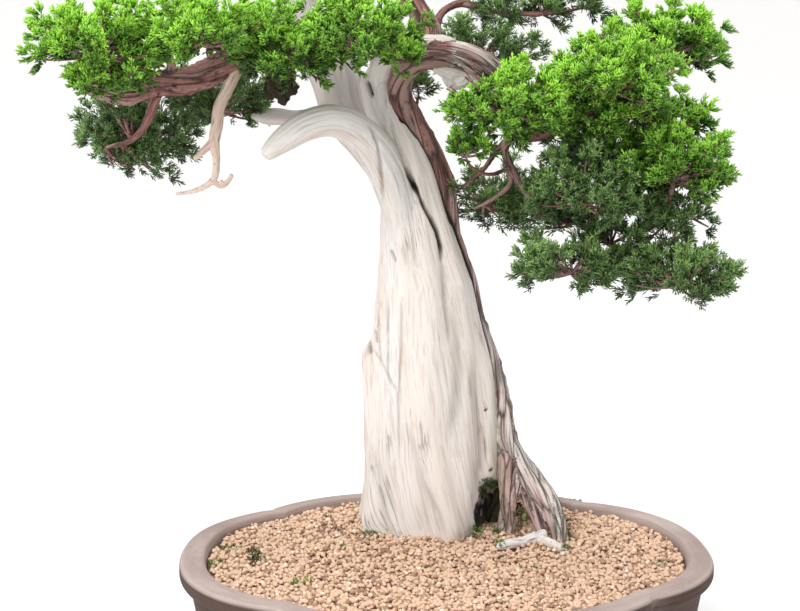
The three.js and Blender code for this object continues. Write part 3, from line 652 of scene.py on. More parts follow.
def stadium_foot(bm, x, y):
    """One low foot with round ends, its outer edge softened."""
    radius = FEET["half_width"]
    straight = FEET["half_length"] - radius
    ring = bmesh.ops.create_circle(bm, cap_ends=True, radius=radius, segments=32)["verts"]
    for vert in ring:
        vert.co.x += math.copysign(straight, vert.co.x)
    face = ring[0].link_faces[0]
    top = bmesh.ops.extrude_face_region(bm, geom=[face])["geom"]
    raised = [item for item in top if isinstance(item, bmesh.types.BMVert)]
    bmesh.ops.translate(bm, verts=raised, vec=(0, 0, FEET["height"]))
    bottom_edges = [edge for edge in bm.edges if edge.verts[0] in ring and edge.verts[1] in ring]
    bevelled = bmesh.ops.bevel(bm, geom=bottom_edges, offset=FEET["softening"], affect="EDGES", segments=3,
                               profile=0.5, material=-1)
    whole = set(raised) | {vert for vert in ring if vert.is_valid} | set(bevelled["verts"])
    turn = Matrix.Rotation(-math.copysign(1, x * y) * FEET["turn"], 4, "Z")
    bmesh.ops.transform(bm, matrix=Matrix.Translation((x, y, 0)) @ turn, verts=list(whole))


def cutter_cylinder(x, radius):
    bm = bmesh.new()
    bmesh.ops.create_cone(bm, cap_ends=True, segments=72, radius1=radius, radius2=radius,
                          depth=CUTTER_DEPTH, matrix=Matrix.Translation((x, 0, CUTTER_MIDDLE)))
    return piece_from(bm, "cutter")


def boolean(piece, other, operation):
    """Cuts the other piece out of a piece, or unites the two, and clears the other away."""
    modifier = piece.modifiers.new("cut", "BOOLEAN")
    modifier.operation = operation
    modifier.solver = "EXACT"
    modifier.object = other
    done = settle(piece)
    bpy.data.objects.remove(other)
    return done


def shape_pot_wall(vert):
    """Turns a round section into the lobed pot, with creases, and a little unevenness."""
    angle = math.atan2(vert.co.y, vert.co.x)
    from_axis = math.hypot(vert.co.x, vert.co.y)
    if from_axis < 1:
        return
    outside = from_axis > OUTSIDE_FROM and vert.co.z < LIP_TOP
    pinch = CREASE_NICK * crease_nearness(angle, 0.02) if outside else 0
    wobble = WOBBLE * perlin(math.cos(angle) * 3, math.sin(angle) * 3, vert.co.z / 40)
    scale = rim_distance(angle) / POT_HALF_LENGTH * (1 + (wobble - pinch) / from_axis)
    vert.co.x *= scale
    vert.co.y *= scale
    if vert.co.z > WAVE_FROM:
        vert.co.z += LIP_WAVE * perlin(vert.co.x / 60, vert.co.y / 60, 3)


def mark_pot(mesh):
    """Writes edge, for painted highlights on corners and creases, and wall, for the brown outside with its
    painted shade.
    """
    co = vertex_rows(mesh)
    angles = np.arctan2(co[:, 1], co[:, 0])
    share = np.hypot(co[:, 0], co[:, 1]) / np.array([rim_distance(angle) for angle in angles])
    # Painted highlights: thin pale lines at the lip's outer and inner edges, and along the creases.
    outer = np.exp(-(((share - 0.9925) / 0.0042) ** 2)) * (co[:, 2] > 112)
    inner = 0.3 * np.exp(-(((share - 0.92) / 0.006) ** 2)) * (co[:, 2] > 117)
    creases = 0.4 * np.array([crease_nearness(angle, 0.05) for angle in angles]) * (co[:, 2] > 100)
    write_attribute(mesh, "edge", np.clip(outer + inner + creases, 0, 1))
    # wall: the outside below the lip, browner clay and painted shade.
    outside = share * POT_HALF_LENGTH > WALL_FOOT[0] + WALL_LEAN * (co[:, 2] - WALL_FOOT[1])
    write_attribute(mesh, "wall", outside * np.clip((BROWN_AND_SHADED_UP_TO - co[:, 2]) / 2.2, 0, 1))


def make_pot(clay):
    """The wall, lip and floor in one spun body, with two drainage holes and four feet."""
    bm = bmesh.new()
    line = outline(bm, POT_PROFILE)
    for index, offset in ROUNDED.items():
        round_corners(bm, [line[index]], offset, 4)
    long_edges = [edge for edge in bm.edges if edge.calc_length() > 60]
    bmesh.ops.subdivide_edges(bm, edges=long_edges, cuts=9)
    spin_outline(bm, POT_STEPS, 1e-3)
    for vert in bm.verts:
        shape_pot_wall(vert)
    body = piece_from(bm, "pot_body", recalculate=True)
    for side in (-1, 1):
        body = boolean(body, cutter_cylinder(side * DRAIN_OFFSET, DRAIN_RADIUS), "DIFFERENCE")
    feet = bmesh.new()
    for x in (-1, 1):
        for y in (-1, 1):
            stadium_foot(feet, x * FEET["spacing"][0], y * FEET["spacing"][1])
    body = boolean(body, piece_from(feet, "pot_feet", recalculate=True), "UNION")
    mark_pot(body.data)
    to_frame(body, POT_TURN)
    finish_piece(body, clay, "unglazed_clay", "pot")


# ---- Routes along the wood -----------------------------------------------------------------------


def smooth_route(stations, step):
    """Samples [x, y, z, radius], about step apart, on a smooth line through the stations."""
    given = np.array(stations, float)
    padded = np.vstack([2 * given[0] - given[1], given, 2 * given[-1] - given[-2]])
    samples = []
    for i in range(1, len(padded) - 2):
        before, start, end, after = padded[i - 1:i + 3]
        knots = [0.0]
        for a, b in ((before, start), (start, end), (end, after)):
            knots.append(knots[-1] + max(np.linalg.norm(b[:3] - a[:3]), 1e-3) ** 0.5)
        k0, k1, k2, k3 = knots
        count = max(1, round(np.linalg.norm(end[:3] - start[:3]) / step))
        for j in range(count):
            k = k1 + (k2 - k1) * j / count
            a1 = (k1 - k) / (k1 - k0) * before + (k - k0) / (k1 - k0) * start
            a2 = (k2 - k) / (k2 - k1) * start + (k - k1) / (k2 - k1) * end
            a3 = (k3 - k) / (k3 - k2) * end + (k - k2) / (k3 - k2) * after
            b1 = (k2 - k) / (k2 - k0) * a1 + (k - k0) / (k2 - k0) * a2
            b2 = (k3 - k) / (k3 - k1) * a2 + (k - k1) / (k3 - k1) * a3
            samples.append((k2 - k) / (k2 - k1) * b1 + (k - k1) / (k2 - k1) * b2)
    samples.append(given[-1])
    route = np.array(samples)
    route[:, 3] = np.maximum(route[:, 3], min(given[:, 3]))
    return route


def limbs_piece(name, routes, roundness):
    """One closed tube along each route, as a mesh, in millimetres."""
    curve = bpy.data.curves.new(name, "CURVE")
    curve.dimensions = "3D"
    curve.bevel_depth = 1
    curve.bevel_resolution = roundness
    curve.use_fill_caps = True
    for route in routes:
        spline = curve.splines.new("POLY")
        spline.points.add(len(route) - 1)
        for point, (x, y, z, radius) in zip(spline.points, route):
            point.co = (x, y, z, 1)
            point.radius = radius
    return settle(link(name, curve))


class Grain:
    """Finds, for a point on a group of limbs, how far along and round its limb it lies."""

    NEIGHBOURS = 10             # samples of the routes that are compared for a point
    FIRST_SIDE = (0.3, 0.9, 0.3)    # angles are measured from this side at the start of a limb

    def __init__(self, routes):
        rows = []
        for number, route in enumerate(routes):
            ways = np.gradient(route[:, :3], axis=0)
            ways /= np.maximum(np.linalg.norm(ways, axis=1), 1e-6)[:, None]
            run = np.concatenate([[0], np.cumsum(np.linalg.norm(np.diff(route[:, :3], axis=0), axis=1))])
            normal = np.array(self.FIRST_SIDE)
            for sample, way, along in zip(route, ways, run):
                normal = normal - way * normal.dot(way)
                normal /= np.linalg.norm(normal)
                rows.append((*sample, *way, *normal, along, number))
        self.rows = np.array(rows)
        self.tree = KDTree(len(rows))
        for index, row in enumerate(rows):
            self.tree.insert(row[:3], index)
        self.tree.balance()

    def at(self, point):
        """(closeness, angle round, along, radius, limb) of the limb whose skin is nearest."""
        best = None
        for _, index, distance in self.tree.find_n(point, self.NEIGHBOURS):
            radius = self.rows[index, 3]
            if best is None or distance / radius < best[0]:
                best = (distance / radius, index)
        closeness, index = best
        row = self.rows[index]
        off = np.array(point) - row[:3]
        way, normal = row[4:7], row[7:10]
        angle = math.atan2(off.dot(np.cross(normal, way)), off.dot(normal))
        return closeness, angle, row[10] + off.dot(way), row[3], int(row[11])


def remeshed(piece, voxel, relax=0):
    """Grows the closed tubes of a piece together into one skin with even facets."""
    remesh = piece.modifiers.new("skin", "REMESH")
    remesh.mode = "VOXEL"
    remesh.voxel_size = voxel
    if relax:
        soften = piece.modifiers.new("soften", "SMOOTH")
        soften.factor = 0.5
        soften.iterations = relax
    return settle(piece)


def joined(pieces, name):
    """Gathers the meshes of several pieces in one, without joining their skins."""
    bm = bmesh.new()
    for piece in pieces:
        bm.from_mesh(piece.data)
        bpy.data.objects.remove(piece)
    return piece_from(bm, name)


# ---- Deadwood trunk ------------------------------------------------------------------------------

# Each section is [height, left edge, right edge, middle of the depth, half depth].
TRUNK_SECTIONS = np.array([
    [62, -72, 30, 108, 46], [106, -84, 42, 106, 62], [124, -89, 52, 106, 60], [160, -87, 60, 106, 56],
    [210, -85, 57, 105, 51], [255, -83, 52, 105, 47], [290, -83, 48, 105, 43], [305, -83, 46, 105, 42.5],
    [318, -75, 44, 105, 41], [340, -70, 39, 105, 39], [380, -69, 30, 104, 35], [424, -67, 14, 103, 32],
    [460, -66, 2, 101, 29], [500, -62, -10, 98, 27], [530, -68, -22, 96, 25], [560, -82, -38, 95, 22],
    [590, -88, -46, 95, 20], [612, -74, -46, 95, 14], [624, -66, -54, 95, 6],
], float)
LEDGE = (305, 345)      # heights between which the left edge steps in
TOE_HEIGHT = 170        # the toes spread below this height
LIMB_APART = 700        # how far apart the grain of one limb lies from the next
GNARL = 0.12            # ridges of a carved limb, as a share of its radius
DEADWOOD_FIRST_SKIN = 2.4
DEADWOOD_SKIN = 2.02
DEAD_LIMBS = {
    "front_jin": [(-40, 92, 430, 18), (-50, 84, 470, 20), (-66, 66, 512, 21), (-92, 44, 543, 18),
                  (-117, 25, 553, 16), (-141, 10, 548, 15), (-163, 0, 534, 12), (-180, -8, 520, 7)],
    "back_stem": [(-34, 110, 410, 15), (-46, 126, 462, 19), (-60, 138, 495, 21), (-78, 148, 522, 23),
                  (-103, 156, 556, 27), (-116, 162, 596, 28), (-136, 168, 634, 25), (-152, 172, 674, 17),
                  (-160, 174, 702, 8)],
    "stub_jin": [(-96, 152, 548, 14), (-142, 132, 553, 9), (-160, 122, 553, 7.5), (-176, 113, 554, 9.5),
                 (-190, 106, 554, 8), (-203, 100, 555, 3)],
    "prong": [(-48, 88, 500, 10), (-57, 82, 551, 11), (-64, 80, 585, 8), (-69, 80, 618, 4)],
    "arch_cap": [(-66, 88, 590, 14), (-62, 76, 614, 14), (-44, 67, 624, 12), (-22, 64, 629, 10),
                 (0, 66, 630, 8), (16, 70, 626, 4)],
    "front_toe": [(-18, 66, 240, 10), (-8, 58, 190, 13), (0, 53, 150, 14), (6, 49, 122, 13),
                  (9, 48, 100, 11)],
}
# Folds and clefts seen on the front of the trunk: points (x, z) downwards, then width and depth.
CLEFTS = [
    ([(-58, 556), (-52, 535), (-46, 520), (-37, 497)], 1.6, 2.2),
    ([(-40, 506), (-37, 497), (-29, 478), (-21, 462), (-13, 447), (-8, 436), (-4, 420), (-3, 406)], 1.9, 13),
    ([(-3, 408), (0, 385), (1, 365), (4, 340), (6, 318)], 3.6, 2.4),
    ([(-81, 592), (-78, 584), (-75, 576)], 1.9, 11),
    ([(-76, 549), (-69, 532), (-66, 511), (-65, 488), (-65, 465)], 2.2, 3),
    ([(5, 366), (12, 325), (16, 287), (12, 250), (6, 217)], 7, 2.6),
    ([(-60, 366), (-60, 330), (-60, 287), (-55, 270)], 1.3, 2.4),
    ([(-70, 352), (-69, 320), (-67, 290)], 1.1, 2.2),
    ([(-45, 366), (-45, 314), (-48, 261), (-47, 185)], 1.3, 2.0),
    ([(-76, 312), (-66, 296), (-55, 276), (-50, 268)], 1.2, 2.6),
    ([(-57, 416), (-52, 404)], 1.5, 4),
    ([(-26, 240), (-24, 222), (-23, 206)], 1.2, 2.6),
    ([(-80, 318), (-78, 304)], 2.0, 4.5),
    ([(-73, 330), (-71, 316)], 1.4, 3.5),
    ([(-40, 232), (-33, 209), (-22, 170), (-6, 140), (2, 112)], 4.5, 2),
    ([(-70, 200), (-66, 160), (-58, 118)], 4.5, 1.8),
    ([(30, 300), (34, 250), (40, 200), (36, 165)], 5, 2.4),
    ([(45.2, 245.5), (45.2, 243.5)], 1.5, 12),
    ([(51, 180.5), (51, 178)], 1.7, 12),
    ([(44, 214), (46, 190)], 1.2, 3),
]
NARROW_CLEFT = 2.5      # clefts narrower than this get fine facets, this far to each side
FINE_REACH = 5.5
FRONT_UP_TO = 108       # what lies further back has no clefts drawn on it
HOLLOW_CENTRE = (52, 52, 126)   # the hollow in the foot, and its half sizes
HOLLOW_HALF = (19, 58, 46)
LIMB_BLEND = 0.35       # how softly the grain of a limb runs into that of the trunk
# How grey the weather has turned each limb, with painted shade on the limbs at the back.
GREYED_AND_SHADED = {"back_stem": 0.6, "stub_jin": 0.45, "prong": 0.1, "arch_cap": 0.15, "front_jin": 0.08}


def trunk_section(height, with_ledge=True):
    """Left edge, right edge, middle of the depth and half depth of the trunk at a height."""
    rows = TRUNK_SECTIONS
    if not with_ledge:
        rows = rows[(rows[:, 0] < LEDGE[0]) | (rows[:, 0] > LEDGE[1])]
    return [np.interp(height, rows[:, 0], rows[:, column]) for column in range(1, 5)]


def flute(angle, height):
    """The long ridges of the weathered trunk, and the toes that it stands on."""
    ridges = 0.05 * math.sin(5 * angle + 0.011 * height) + 0.042 * math.sin(9 * angle - 0.014 * height + 1)
    rise = clipped((TOE_HEIGHT - height) / 60)
    toes = 0.09 * math.cos(3 * angle + 2.2) * rise * rise * (3 - 2 * rise)
    return 1 + ridges + toes


def trunk_body():
    """The trunk from under the soil to its top, before the limbs grow out of it."""
    bottom, top = TRUNK_SECTIONS[0, 0], TRUNK_SECTIONS[-1, 0]
    bm = bmesh.new()
    bmesh.ops.create_cone(bm, cap_ends=True, segments=144, radius1=1, radius2=1, depth=1)
    sides = [edge for edge in bm.edges if abs(edge.verts[0].co.z - edge.verts[1].co.z) > 0.5]
    bmesh.ops.subdivide_edges(bm, edges=sides, cuts=140)
    for vert in bm.verts:
        height = bottom + (vert.co.z + 0.5) * (top - bottom)
        left, right, middle, depth = trunk_section(height, with_ledge=False)
        angle = math.atan2(vert.co.y, vert.co.x)
        reach = flute(angle, height)
        ledge = (trunk_section(height)[0] - left) * max(0, -math.cos(angle) - 0.5) / 0.5
        vert.co = ((left + right) / 2 + (right - left) / 2 * reach * math.cos(angle) + ledge,
                   middle + depth * reach * math.sin(angle), height)
    return piece_from(bm, "trunk_body")


def lump(centre, half, seed, roughness, subdivisions):
    """A rough round body, for hollows and for knots."""
    bm = bmesh.new()
    bmesh.ops.create_icosphere(bm, subdivisions=subdivisions, radius=1)
    for vert in bm.verts:
        swell = 1 + roughness * noise.fractal(vert.co * 2.2 + Vector((seed, 0, 0)), 0.9, 2.0, 3)
        vert.co = Vector([c + h * part * swell for c, h, part in zip(centre, half, vert.co)])
    return piece_from(bm, "lump")


def along_line(point, line):
    """Distance of a point [x, z] from a line, and how far along the line it is, 0 to 1."""
    best = (1e9, 0)
    for i, (a, b) in enumerate(zip(line, line[1:])):
        step = (b[0] - a[0], b[1] - a[1])
        length = step[0] ** 2 + step[1] ** 2
        t = clipped(((point[0] - a[0]) * step[0] + (point[1] - a[1]) * step[1]) / length)
        gap = math.hypot(point[0] - a[0] - t * step[0], point[1] - a[1] - t * step[1])
        best = min(best, (gap, (i + t) / (len(line) - 1)))
    return best


def trunk_closeness(point):
    """How far out a point is, 1 on the trunk's skin, its angle round the trunk, and the radius."""
    left, right, middle, depth = trunk_section(point[2], with_ledge=False)
    across = (point[0] - (left + right) / 2) / max((right - left) / 2, 1)
    back = (point[1] - middle) / max(depth, 1)
    return math.hypot(across, back), math.atan2(back, across), ((right - left) / 2 + depth) / 2


def wood_relief(gx, gy, run):
    """How far weathered wood stands out: broad ridges, grooves between them and long fine lines."""
    ridge = perlin(gx / 24, gy / 24, run / 240)
    groove = perlin(gx / 7.5 + 9, gy / 7.5, run / 190)
    line = perlin(gx / 3.4, gy / 3.4 + 5, run / 100)
    split = max(0, perlin(gx / 5 + 30, gy / 5, run / 120) - 0.3)
    return 1.2 * ridge + 0.4 * groove + 0.6 * line - 1.1 * split


def near_a_cleft(point):
    """Whether a point on the front is close enough to a narrow cleft to need fine facets."""
    x, y, z = point
    if y > FRONT_UP_TO:
        return False
    return any(path[-1][1] - 4 < z < path[0][1] + 4 and width < NARROW_CLEFT
               and along_line((x, z), path)[0] < FINE_REACH for path, width, _ in CLEFTS)


def refine(piece, near):
    """Halves the facets of a piece wherever near(point) holds, for sharp detail."""
    bm = bmesh.new()
    bm.from_mesh(piece.data)
    close = {vert for vert in bm.verts if near(vert.co)}
    edges = [edge for edge in bm.edges if edge.verts[0] in close and edge.verts[1] in close]
    bmesh.ops.subdivide_edges(bm, edges=edges, cuts=1, use_grid_fill=True)
    bmesh.ops.triangulate(bm, faces=[face for face in bm.faces if len(face.verts) > 4])
    bm.to_mesh(piece.data)
    bm.free()


def cleft_at(point):
    """How deep the drawn clefts cut at a point on the front of the trunk, and how much painted shade darkens
    them.
    """
    x, _, z = point
    cut, dark = 0.0, 0.0
    for path, width, depth in CLEFTS:
        if abs(x - path[0][0]) > 90 or not path[-1][1] - 20 < z < path[0][1] + 20:
            continue
        gap, share = along_line((x, z), path)
        if gap < width * 3:
            ends = min(1, 5 * share + 0.15, 5 * (1 - share) + 0.15)
            wave = width * (0.85 + 0.3 * perlin(z / 9, path[0][0], 0))
            hit = math.exp(-((gap / wave) ** 2)) * ends
            cut += depth * hit
            # Painted shade in the cleft, darker where it cuts deeper.
            dark = max(dark, hit ** 0.8 * min(1, depth / 10))
    return cut, dark


def empty_masks(labels, count):
    return {label: np.zeros(count) for label in labels}


def write_masks(mesh, masks):
    for label, values in masks.items():
        write_attribute(mesh, label, np.clip(values, 0, 1))


def deadwood_skin(routes):
    """Trunk and limbs grown together, with the hollow foot cut out and fine facets at the clefts."""
    limbs = limbs_piece("dead_limbs", routes.values(), roundness=6)
    skin = remeshed(joined([trunk_body(), limbs], "deadwood"), DEADWOOD_FIRST_SKIN)
    hollow = lump(HOLLOW_CENTRE, HOLLOW_HALF, seed=3, roughness=0.22, subdivisions=4)
    skin = boolean(skin, hollow, "DIFFERENCE")
    skin = remeshed(skin, DEADWOOD_SKIN, relax=2)
    refine(skin, near_a_cleft)
    return skin


def mark_hollow(point, share, masks, i):
    """Paints shade into the hollow foot, down to a ragged edge, and puts moss in it."""
    inside = np.linalg.norm((point - HOLLOW_CENTRE) / HOLLOW_HALF)
    if inside >= 1.1 or share >= 1:
        return
    x, y, z = point
    depth = clipped((1.1 + 0.12 * perlin(x / 5, y / 5, z / 12) - inside) / 0.07)
    # Painted shade, nearly black inside the hollow.
    masks["worn"][i] = max(masks["worn"][i], depth * clipped((y - 42) / 8, low=0.7))
    mossy = 1.8 * perlin(x / 7, y / 7, z / 9) - 0.35 + max(0, z - 150) / 25
    masks["moss"][i] = 0.6 * depth * max(0, mossy)


def mark_trunk(point, masks, i):
    """Pink cracks on the left of the trunk, and moss by the bark, in a valley and at the soil."""
    x, y, z = point
    masks["stain"][i] = clipped((-22 - x) / 30) * (z < 440) * (0.5 + 0.9 * perlin(x / 9, y / 9, z / 60))
    by_bark = clipped((x - 48) / 6) * clipped((310 - z) / 60) * (z > 160)
    valley = math.exp(-(((x - 13) / 6) ** 2)) * (200 < z < 380) * (y < 105)
    by_soil = 0.6 * max(0, (128 - z) / 14) * max(0, perlin(x / 16, y / 16, 2))
    masks["moss"][i] = max(masks["moss"][i], 0.4 * by_bark, 0.12 * valley, by_soil)


def make_deadwood(material):
    routes = {name: smooth_route(stations, 5) for name, stations in DEAD_LIMBS.items()}
    skin = deadwood_skin(routes)
    names = [name for name in DEAD_LIMBS if name != "front_toe"]
    grain = Grain([routes[name] for name in names])
    mesh = skin.data
    co, normals = vertex_rows(mesh), vertex_rows(mesh, "normal")
    trunk_grain, limb_grain = np.empty_like(co), np.empty_like(co)
    masks = empty_masks(("limb", "worn", "moss", "stain", "grey"), len(co))
    for i, (point, normal) in enumerate(zip(co, normals)):
        trunk_near, angle, radius = trunk_closeness(point)
        near, limb_angle, along, limb_radius, limb = grain.at(point)
        share = clipped(0.5 + (trunk_near - near) / LIMB_BLEND)
        flare = clipped((200 - point[2]) / 90)
        turn = angle + 0.0013 * point[2] - 0.32 * flare ** 2
        wide = 0.5 * (radius + 55)
        trunk_grain[i] = (math.cos(turn) * wide, math.sin(turn) * wide, point[2])
        turn = limb_angle + 0.003 * along
        wide = 0.5 * (limb_radius + 24)
        limb_grain[i] = (math.cos(turn) * wide, math.sin(turn) * wide, along + LIMB_APART * (limb + 1))
        move = 0
        if share < 1:
            move += (1 - share) * wood_relief(*trunk_grain[i])
        if share > 0:
            move += share * wood_relief(*limb_grain[i]) * min(1, limb_radius / 14)
        cut = 0
        if normal[1] < 0.35:
            cut, masks["worn"][i] = cleft_at(point)
        masks["limb"][i] = share
        masks["grey"][i] = share * GREYED_AND_SHADED[names[limb]]
        mark_hollow(point, share, masks, i)
        mark_trunk(point, masks, i)
        co[i] = point + normal * (move - cut)
    move_points(mesh, co)
    write_attribute(mesh, "grain", trunk_grain * MM)
    write_attribute(mesh, "limb_grain", limb_grain * MM)
    write_masks(mesh, masks)
    to_frame(skin)
    finish_piece(skin, material, "bleached_deadwood", "deadwood_trunk")


def carved_limbs(name, limbs, step, voxel, fine, cracks=0.0, mark=None):
    """Limbs grown together in one skin, with ridges, and cracks between plates, along the grain."""
    routes = [smooth_route(stations, step) for stations in limbs]
    skin = remeshed(limbs_piece(name, routes, roundness=4), voxel, relax=1)
    grain = Grain(routes)
    mesh = skin.data
    co, normals = vertex_rows(mesh), vertex_rows(mesh, "normal")
    vectors = np.empty_like(co)
    masks = empty_masks(("worn", "moss", "old"), len(co))
    for i, (point, normal) in enumerate(zip(co, normals)):
        _, angle, along, radius, limb = grain.at(point)
        run = along + LIMB_APART * limb
        twist = angle + 0.012 * along
        gx, gy = math.cos(twist) * radius, math.sin(twist) * radius
        vectors[i] = (gx, gy, run)
        size = max(radius, 2)
        ridge = perlin(gx / (size * 0.55), gy / (size * 0.55), run / (size * 4.5))
        groove = perlin(gx / (size * 0.24) + 9, gy / (size * 0.24), run / (size * 2.8))
        knots = perlin(point[0] / 13, point[1] / 13, point[2] / 13)
        move = size * (GNARL * ridge + fine * groove) + 0.6 * GNARL * size * max(0, knots - 0.2) * 3
        # Painted shade in the deep grooves.
        masks["worn"][i] = clipped((-0.35 - groove) * 2.2)
        if cracks:
            border = perlin(gx / (size * 0.6) + 3, gy / (size * 0.6), run / (size * 5))
            split = max(0, 1 - 11 * abs(border)) * min(1, 0.5 + knots * 1.6)
            move -= cracks * size * max(0, split)
            # Painted shade in the cracks between plates.
            masks["worn"][i] = max(masks["worn"][i], 0.8 * split)
        co[i] = point + normal * move
        if mark:
            mark(point, limb, masks, i)
    move_points(mesh, co)
    write_attribute(mesh, "grain", vectors * MM)
    write_masks(mesh, masks)
    to_frame(skin)
    return skin


# ---- Living wood ---------------------------------------------------------------------------------

# Limbs are stations [x, y, z, radius]. The strip runs from the soil up the trunk and over the arch.
BARK_SKIN = 1.65
BARK_STRIP = [
    (126, 36, 88, 5), (123, 48, 110, 8), (118, 64, 130, 11), (107, 79, 148, 14.5), (93, 89, 164, 16),
    (77, 94, 183, 16.5), (66, 99, 204, 16), (60, 106, 228, 16), (53, 110, 264, 16), (42, 118, 302, 16),
    (29, 124, 340, 15), (19, 120, 386, 15), (4, 115, 432, 14), (-1, 101, 467, 14), (-7, 98, 495, 14),
    (-20, 94, 522, 14), (-34, 87, 548, 14), (-47, 77, 577, 13), (-44, 66, 598, 12), (-30, 56, 611, 12),
    (-10, 53, 617, 13), (14, 56, 616, 15), (37, 62, 607, 15), (54, 70, 594, 13), (60, 70, 574, 10),
]
ROOTS = [
    [(66, 93, 206, 9), (68, 85, 180, 9.5), (68, 78, 157, 9), (69, 74, 138, 8), (71, 72, 122, 6.8),
     (70, 70, 108, 6), (69, 70, 88, 4)],
    [(66, 77, 142, 5.5), (61, 72, 124, 4), (58, 70, 110, 3.2), (56, 69, 92, 2)],
    [(90, 84, 158, 9), (94, 72, 141, 7), (99, 60, 129, 6), (103, 50, 118, 5.4), (105, 42, 106, 5),
     (106, 36, 88, 3.5)],
    [(78, 100, 190, 12), (92, 128, 158, 10), (106, 152, 122, 9), (112, 162, 104, 7), (116, 168, 84, 4)],
    [(78, 98, 180, 10), (68, 108, 156, 11), (56, 114, 130, 11), (50, 118, 102, 9), (48, 120, 84, 5)],
    [(110, 72, 140, 6), (122, 62, 126, 4), (130, 56, 112, 3), (134, 52, 96, 2)],
    [(70, 93, 192, 9), (75, 87, 170, 10), (76, 82, 157, 9), (77, 80, 150, 6)],
]
HIDDEN_ROOT = 5         # the limb that stands in the dark of the hollow foot
BRANCHES = [
    [(-12, 56, 618, 11), (-16, 78, 642, 11), (-31, 88, 666, 11), (-47, 92, 684, 11), (-67, 92, 692, 11),
     (-86, 90, 676, 12), (-103, 85, 661, 12), (-138, 75, 644, 13), (-179, 65, 626, 14), (-213, 55, 613, 15),
     (-255, 45, 594, 14), (-296, 35, 588, 13), (-320, 28, 580, 11), (-345, 18, 582, 8), (-362, 2, 596, 5)],
    [(56, 70, 590, 10), (61, 66, 566, 7.5), (67, 54, 541, 7), (90, 45, 537, 6), (114, 38, 545, 5.5),
     (153, 30, 560, 4.5), (193, 25, 556, 3.5), (232, 22, 549, 2.5)],
    [(67, 54, 541, 5.5), (60, 60, 522, 4.6), (67, 60, 504, 4.2), (85, 55, 475, 4), (106, 46, 451, 4),
     (131, 40, 450, 3.5), (162, 36, 431, 3.2), (195, 32, 408, 2.8), (222, 30, 400, 2.5), (250, 30, 405, 2)],
    [(-31, 88, 666, 10), (-48, 102, 702, 10), (-62, 110, 745, 9), (-57, 115, 792, 7), (-34, 113, 838, 4)],
]
TWIGS = [
    [(-277, 40, 592, 7), (-275, 34, 607, 5), (-276, 24, 624, 2.5)],
    [(-290, 36, 580, 6), (-304, 45, 548, 4.5), (-320, 55, 532, 3.5), (-348, 60, 524, 2)],
    [(-14, 72, 632, 6), (-4, 90, 660, 4), (15, 100, 670, 4), (47, 110, 664, 3), (82, 118, 650, 2)],
    [(15, 100, 670, 3.5), (60, 97, 661, 3), (117, 86, 661, 2.2), (158, 80, 670, 1.5)],
    [(-48, 102, 702, 8), (-6, 95, 732, 5.5), (45, 85, 752, 4), (96, 76, 760, 2.5)],
    [(-60, 108, 738, 7), (-108, 105, 760, 5), (-160, 96, 764, 2.5)],
    [(62, 60, 506, 3.6), (68, 70, 489, 3.2), (56, 78, 474, 2.6), (30, 88, 458, 1.8)],
    [(62, 60, 532, 3.6), (52, 74, 519, 3.2), (38, 82, 498, 2.6), (12, 90, 477, 1.8)],
    [(178, 34, 419, 2.8), (160, 30, 402, 2.2), (142, 26, 393, 1.5)],
    [(114, 38, 545, 4.5), (92, 15, 556, 3), (70, 2, 566, 2)],
    [(153, 30, 560, 4.5), (190, 70, 578, 3.5), (225, 105, 592, 2)],
    [(104, 42, 542, 6), (84, 96, 552, 5), (58, 160, 572, 4), (38, 228, 590, 2.5)],
    [(67, 60, 504, 2.6), (44, 44, 498, 2.2), (26, 30, 506, 1.8), (18, 16, 518, 1.4)],
    [(90, 52, 470, 2.6), (118, 44, 488, 2.2), (146, 30, 502, 1.6)],
    [(131, 40, 450, 2.6), (168, 34, 462, 2.2), (204, 26, 470, 1.6), (236, 18, 462, 1.2)],
    [(-32, 90, 560, 2.4), (-28, 96, 572, 1.8), (-28, 100, 584, 1.2)],
]
BURL_CENTRE = (-169, 66, 590)
BURL_KNOBS = 9
BURL_SKIN = 1.1
HANGING_JIN = [
    [(-212, 52, 604, 7), (-220, 46, 584, 6), (-229, 42, 565, 6), (-231, 40, 548, 6), (-234, 38, 530, 5.5),
     (-232, 37, 514, 4), (-235, 35, 494, 3.5), (-252, 33, 483, 2.5), (-273, 31, 479, 1.5)],
    [(-233, 38, 534, 4.5), (-244, 36, 523, 3.5), (-254, 34, 514, 2.6)],
    [(-236, 35, 492, 3), (-227, 34, 487, 2.8), (-220, 33, 492, 2.6), (-216, 32, 499, 2)],
    [(-229, 34, 487, 2.4), (-226, 33, 493, 2)],
]
BARE_ROOT = [
    [(105, 47, 119, 5.5), (98, 40, 118, 6), (88, 32, 117.5, 5.2), (78, 26, 116.5, 5), (68, 22, 116.5, 5.4),
     (58, 19, 114.5, 4.8), (53, 17, 113, 3)],
    [(96, 38, 117, 5.5), (108, 27, 116.5, 5), (119, 17, 114, 4.2), (126, 12, 112, 2.5)],
    [(94, 37, 119, 4), (92, 36, 124, 2.5)],
]
UNDER_ARCH_JIN = [
    [(26, 62, 606, 10), (20, 60, 596, 9), (10, 58, 589, 7), (3, 56, 590, 4.5), (-2, 54, 596, 3)],
    [(22, 62, 604, 8), (28, 60, 594, 6), (32, 59, 587, 3)],
    [(-12, 56, 607, 6), (2, 57, 602, 9), (18, 60, 600, 9)],
    [(4, 55, 590, 4.5), (6, 53, 586, 4.5)],
]


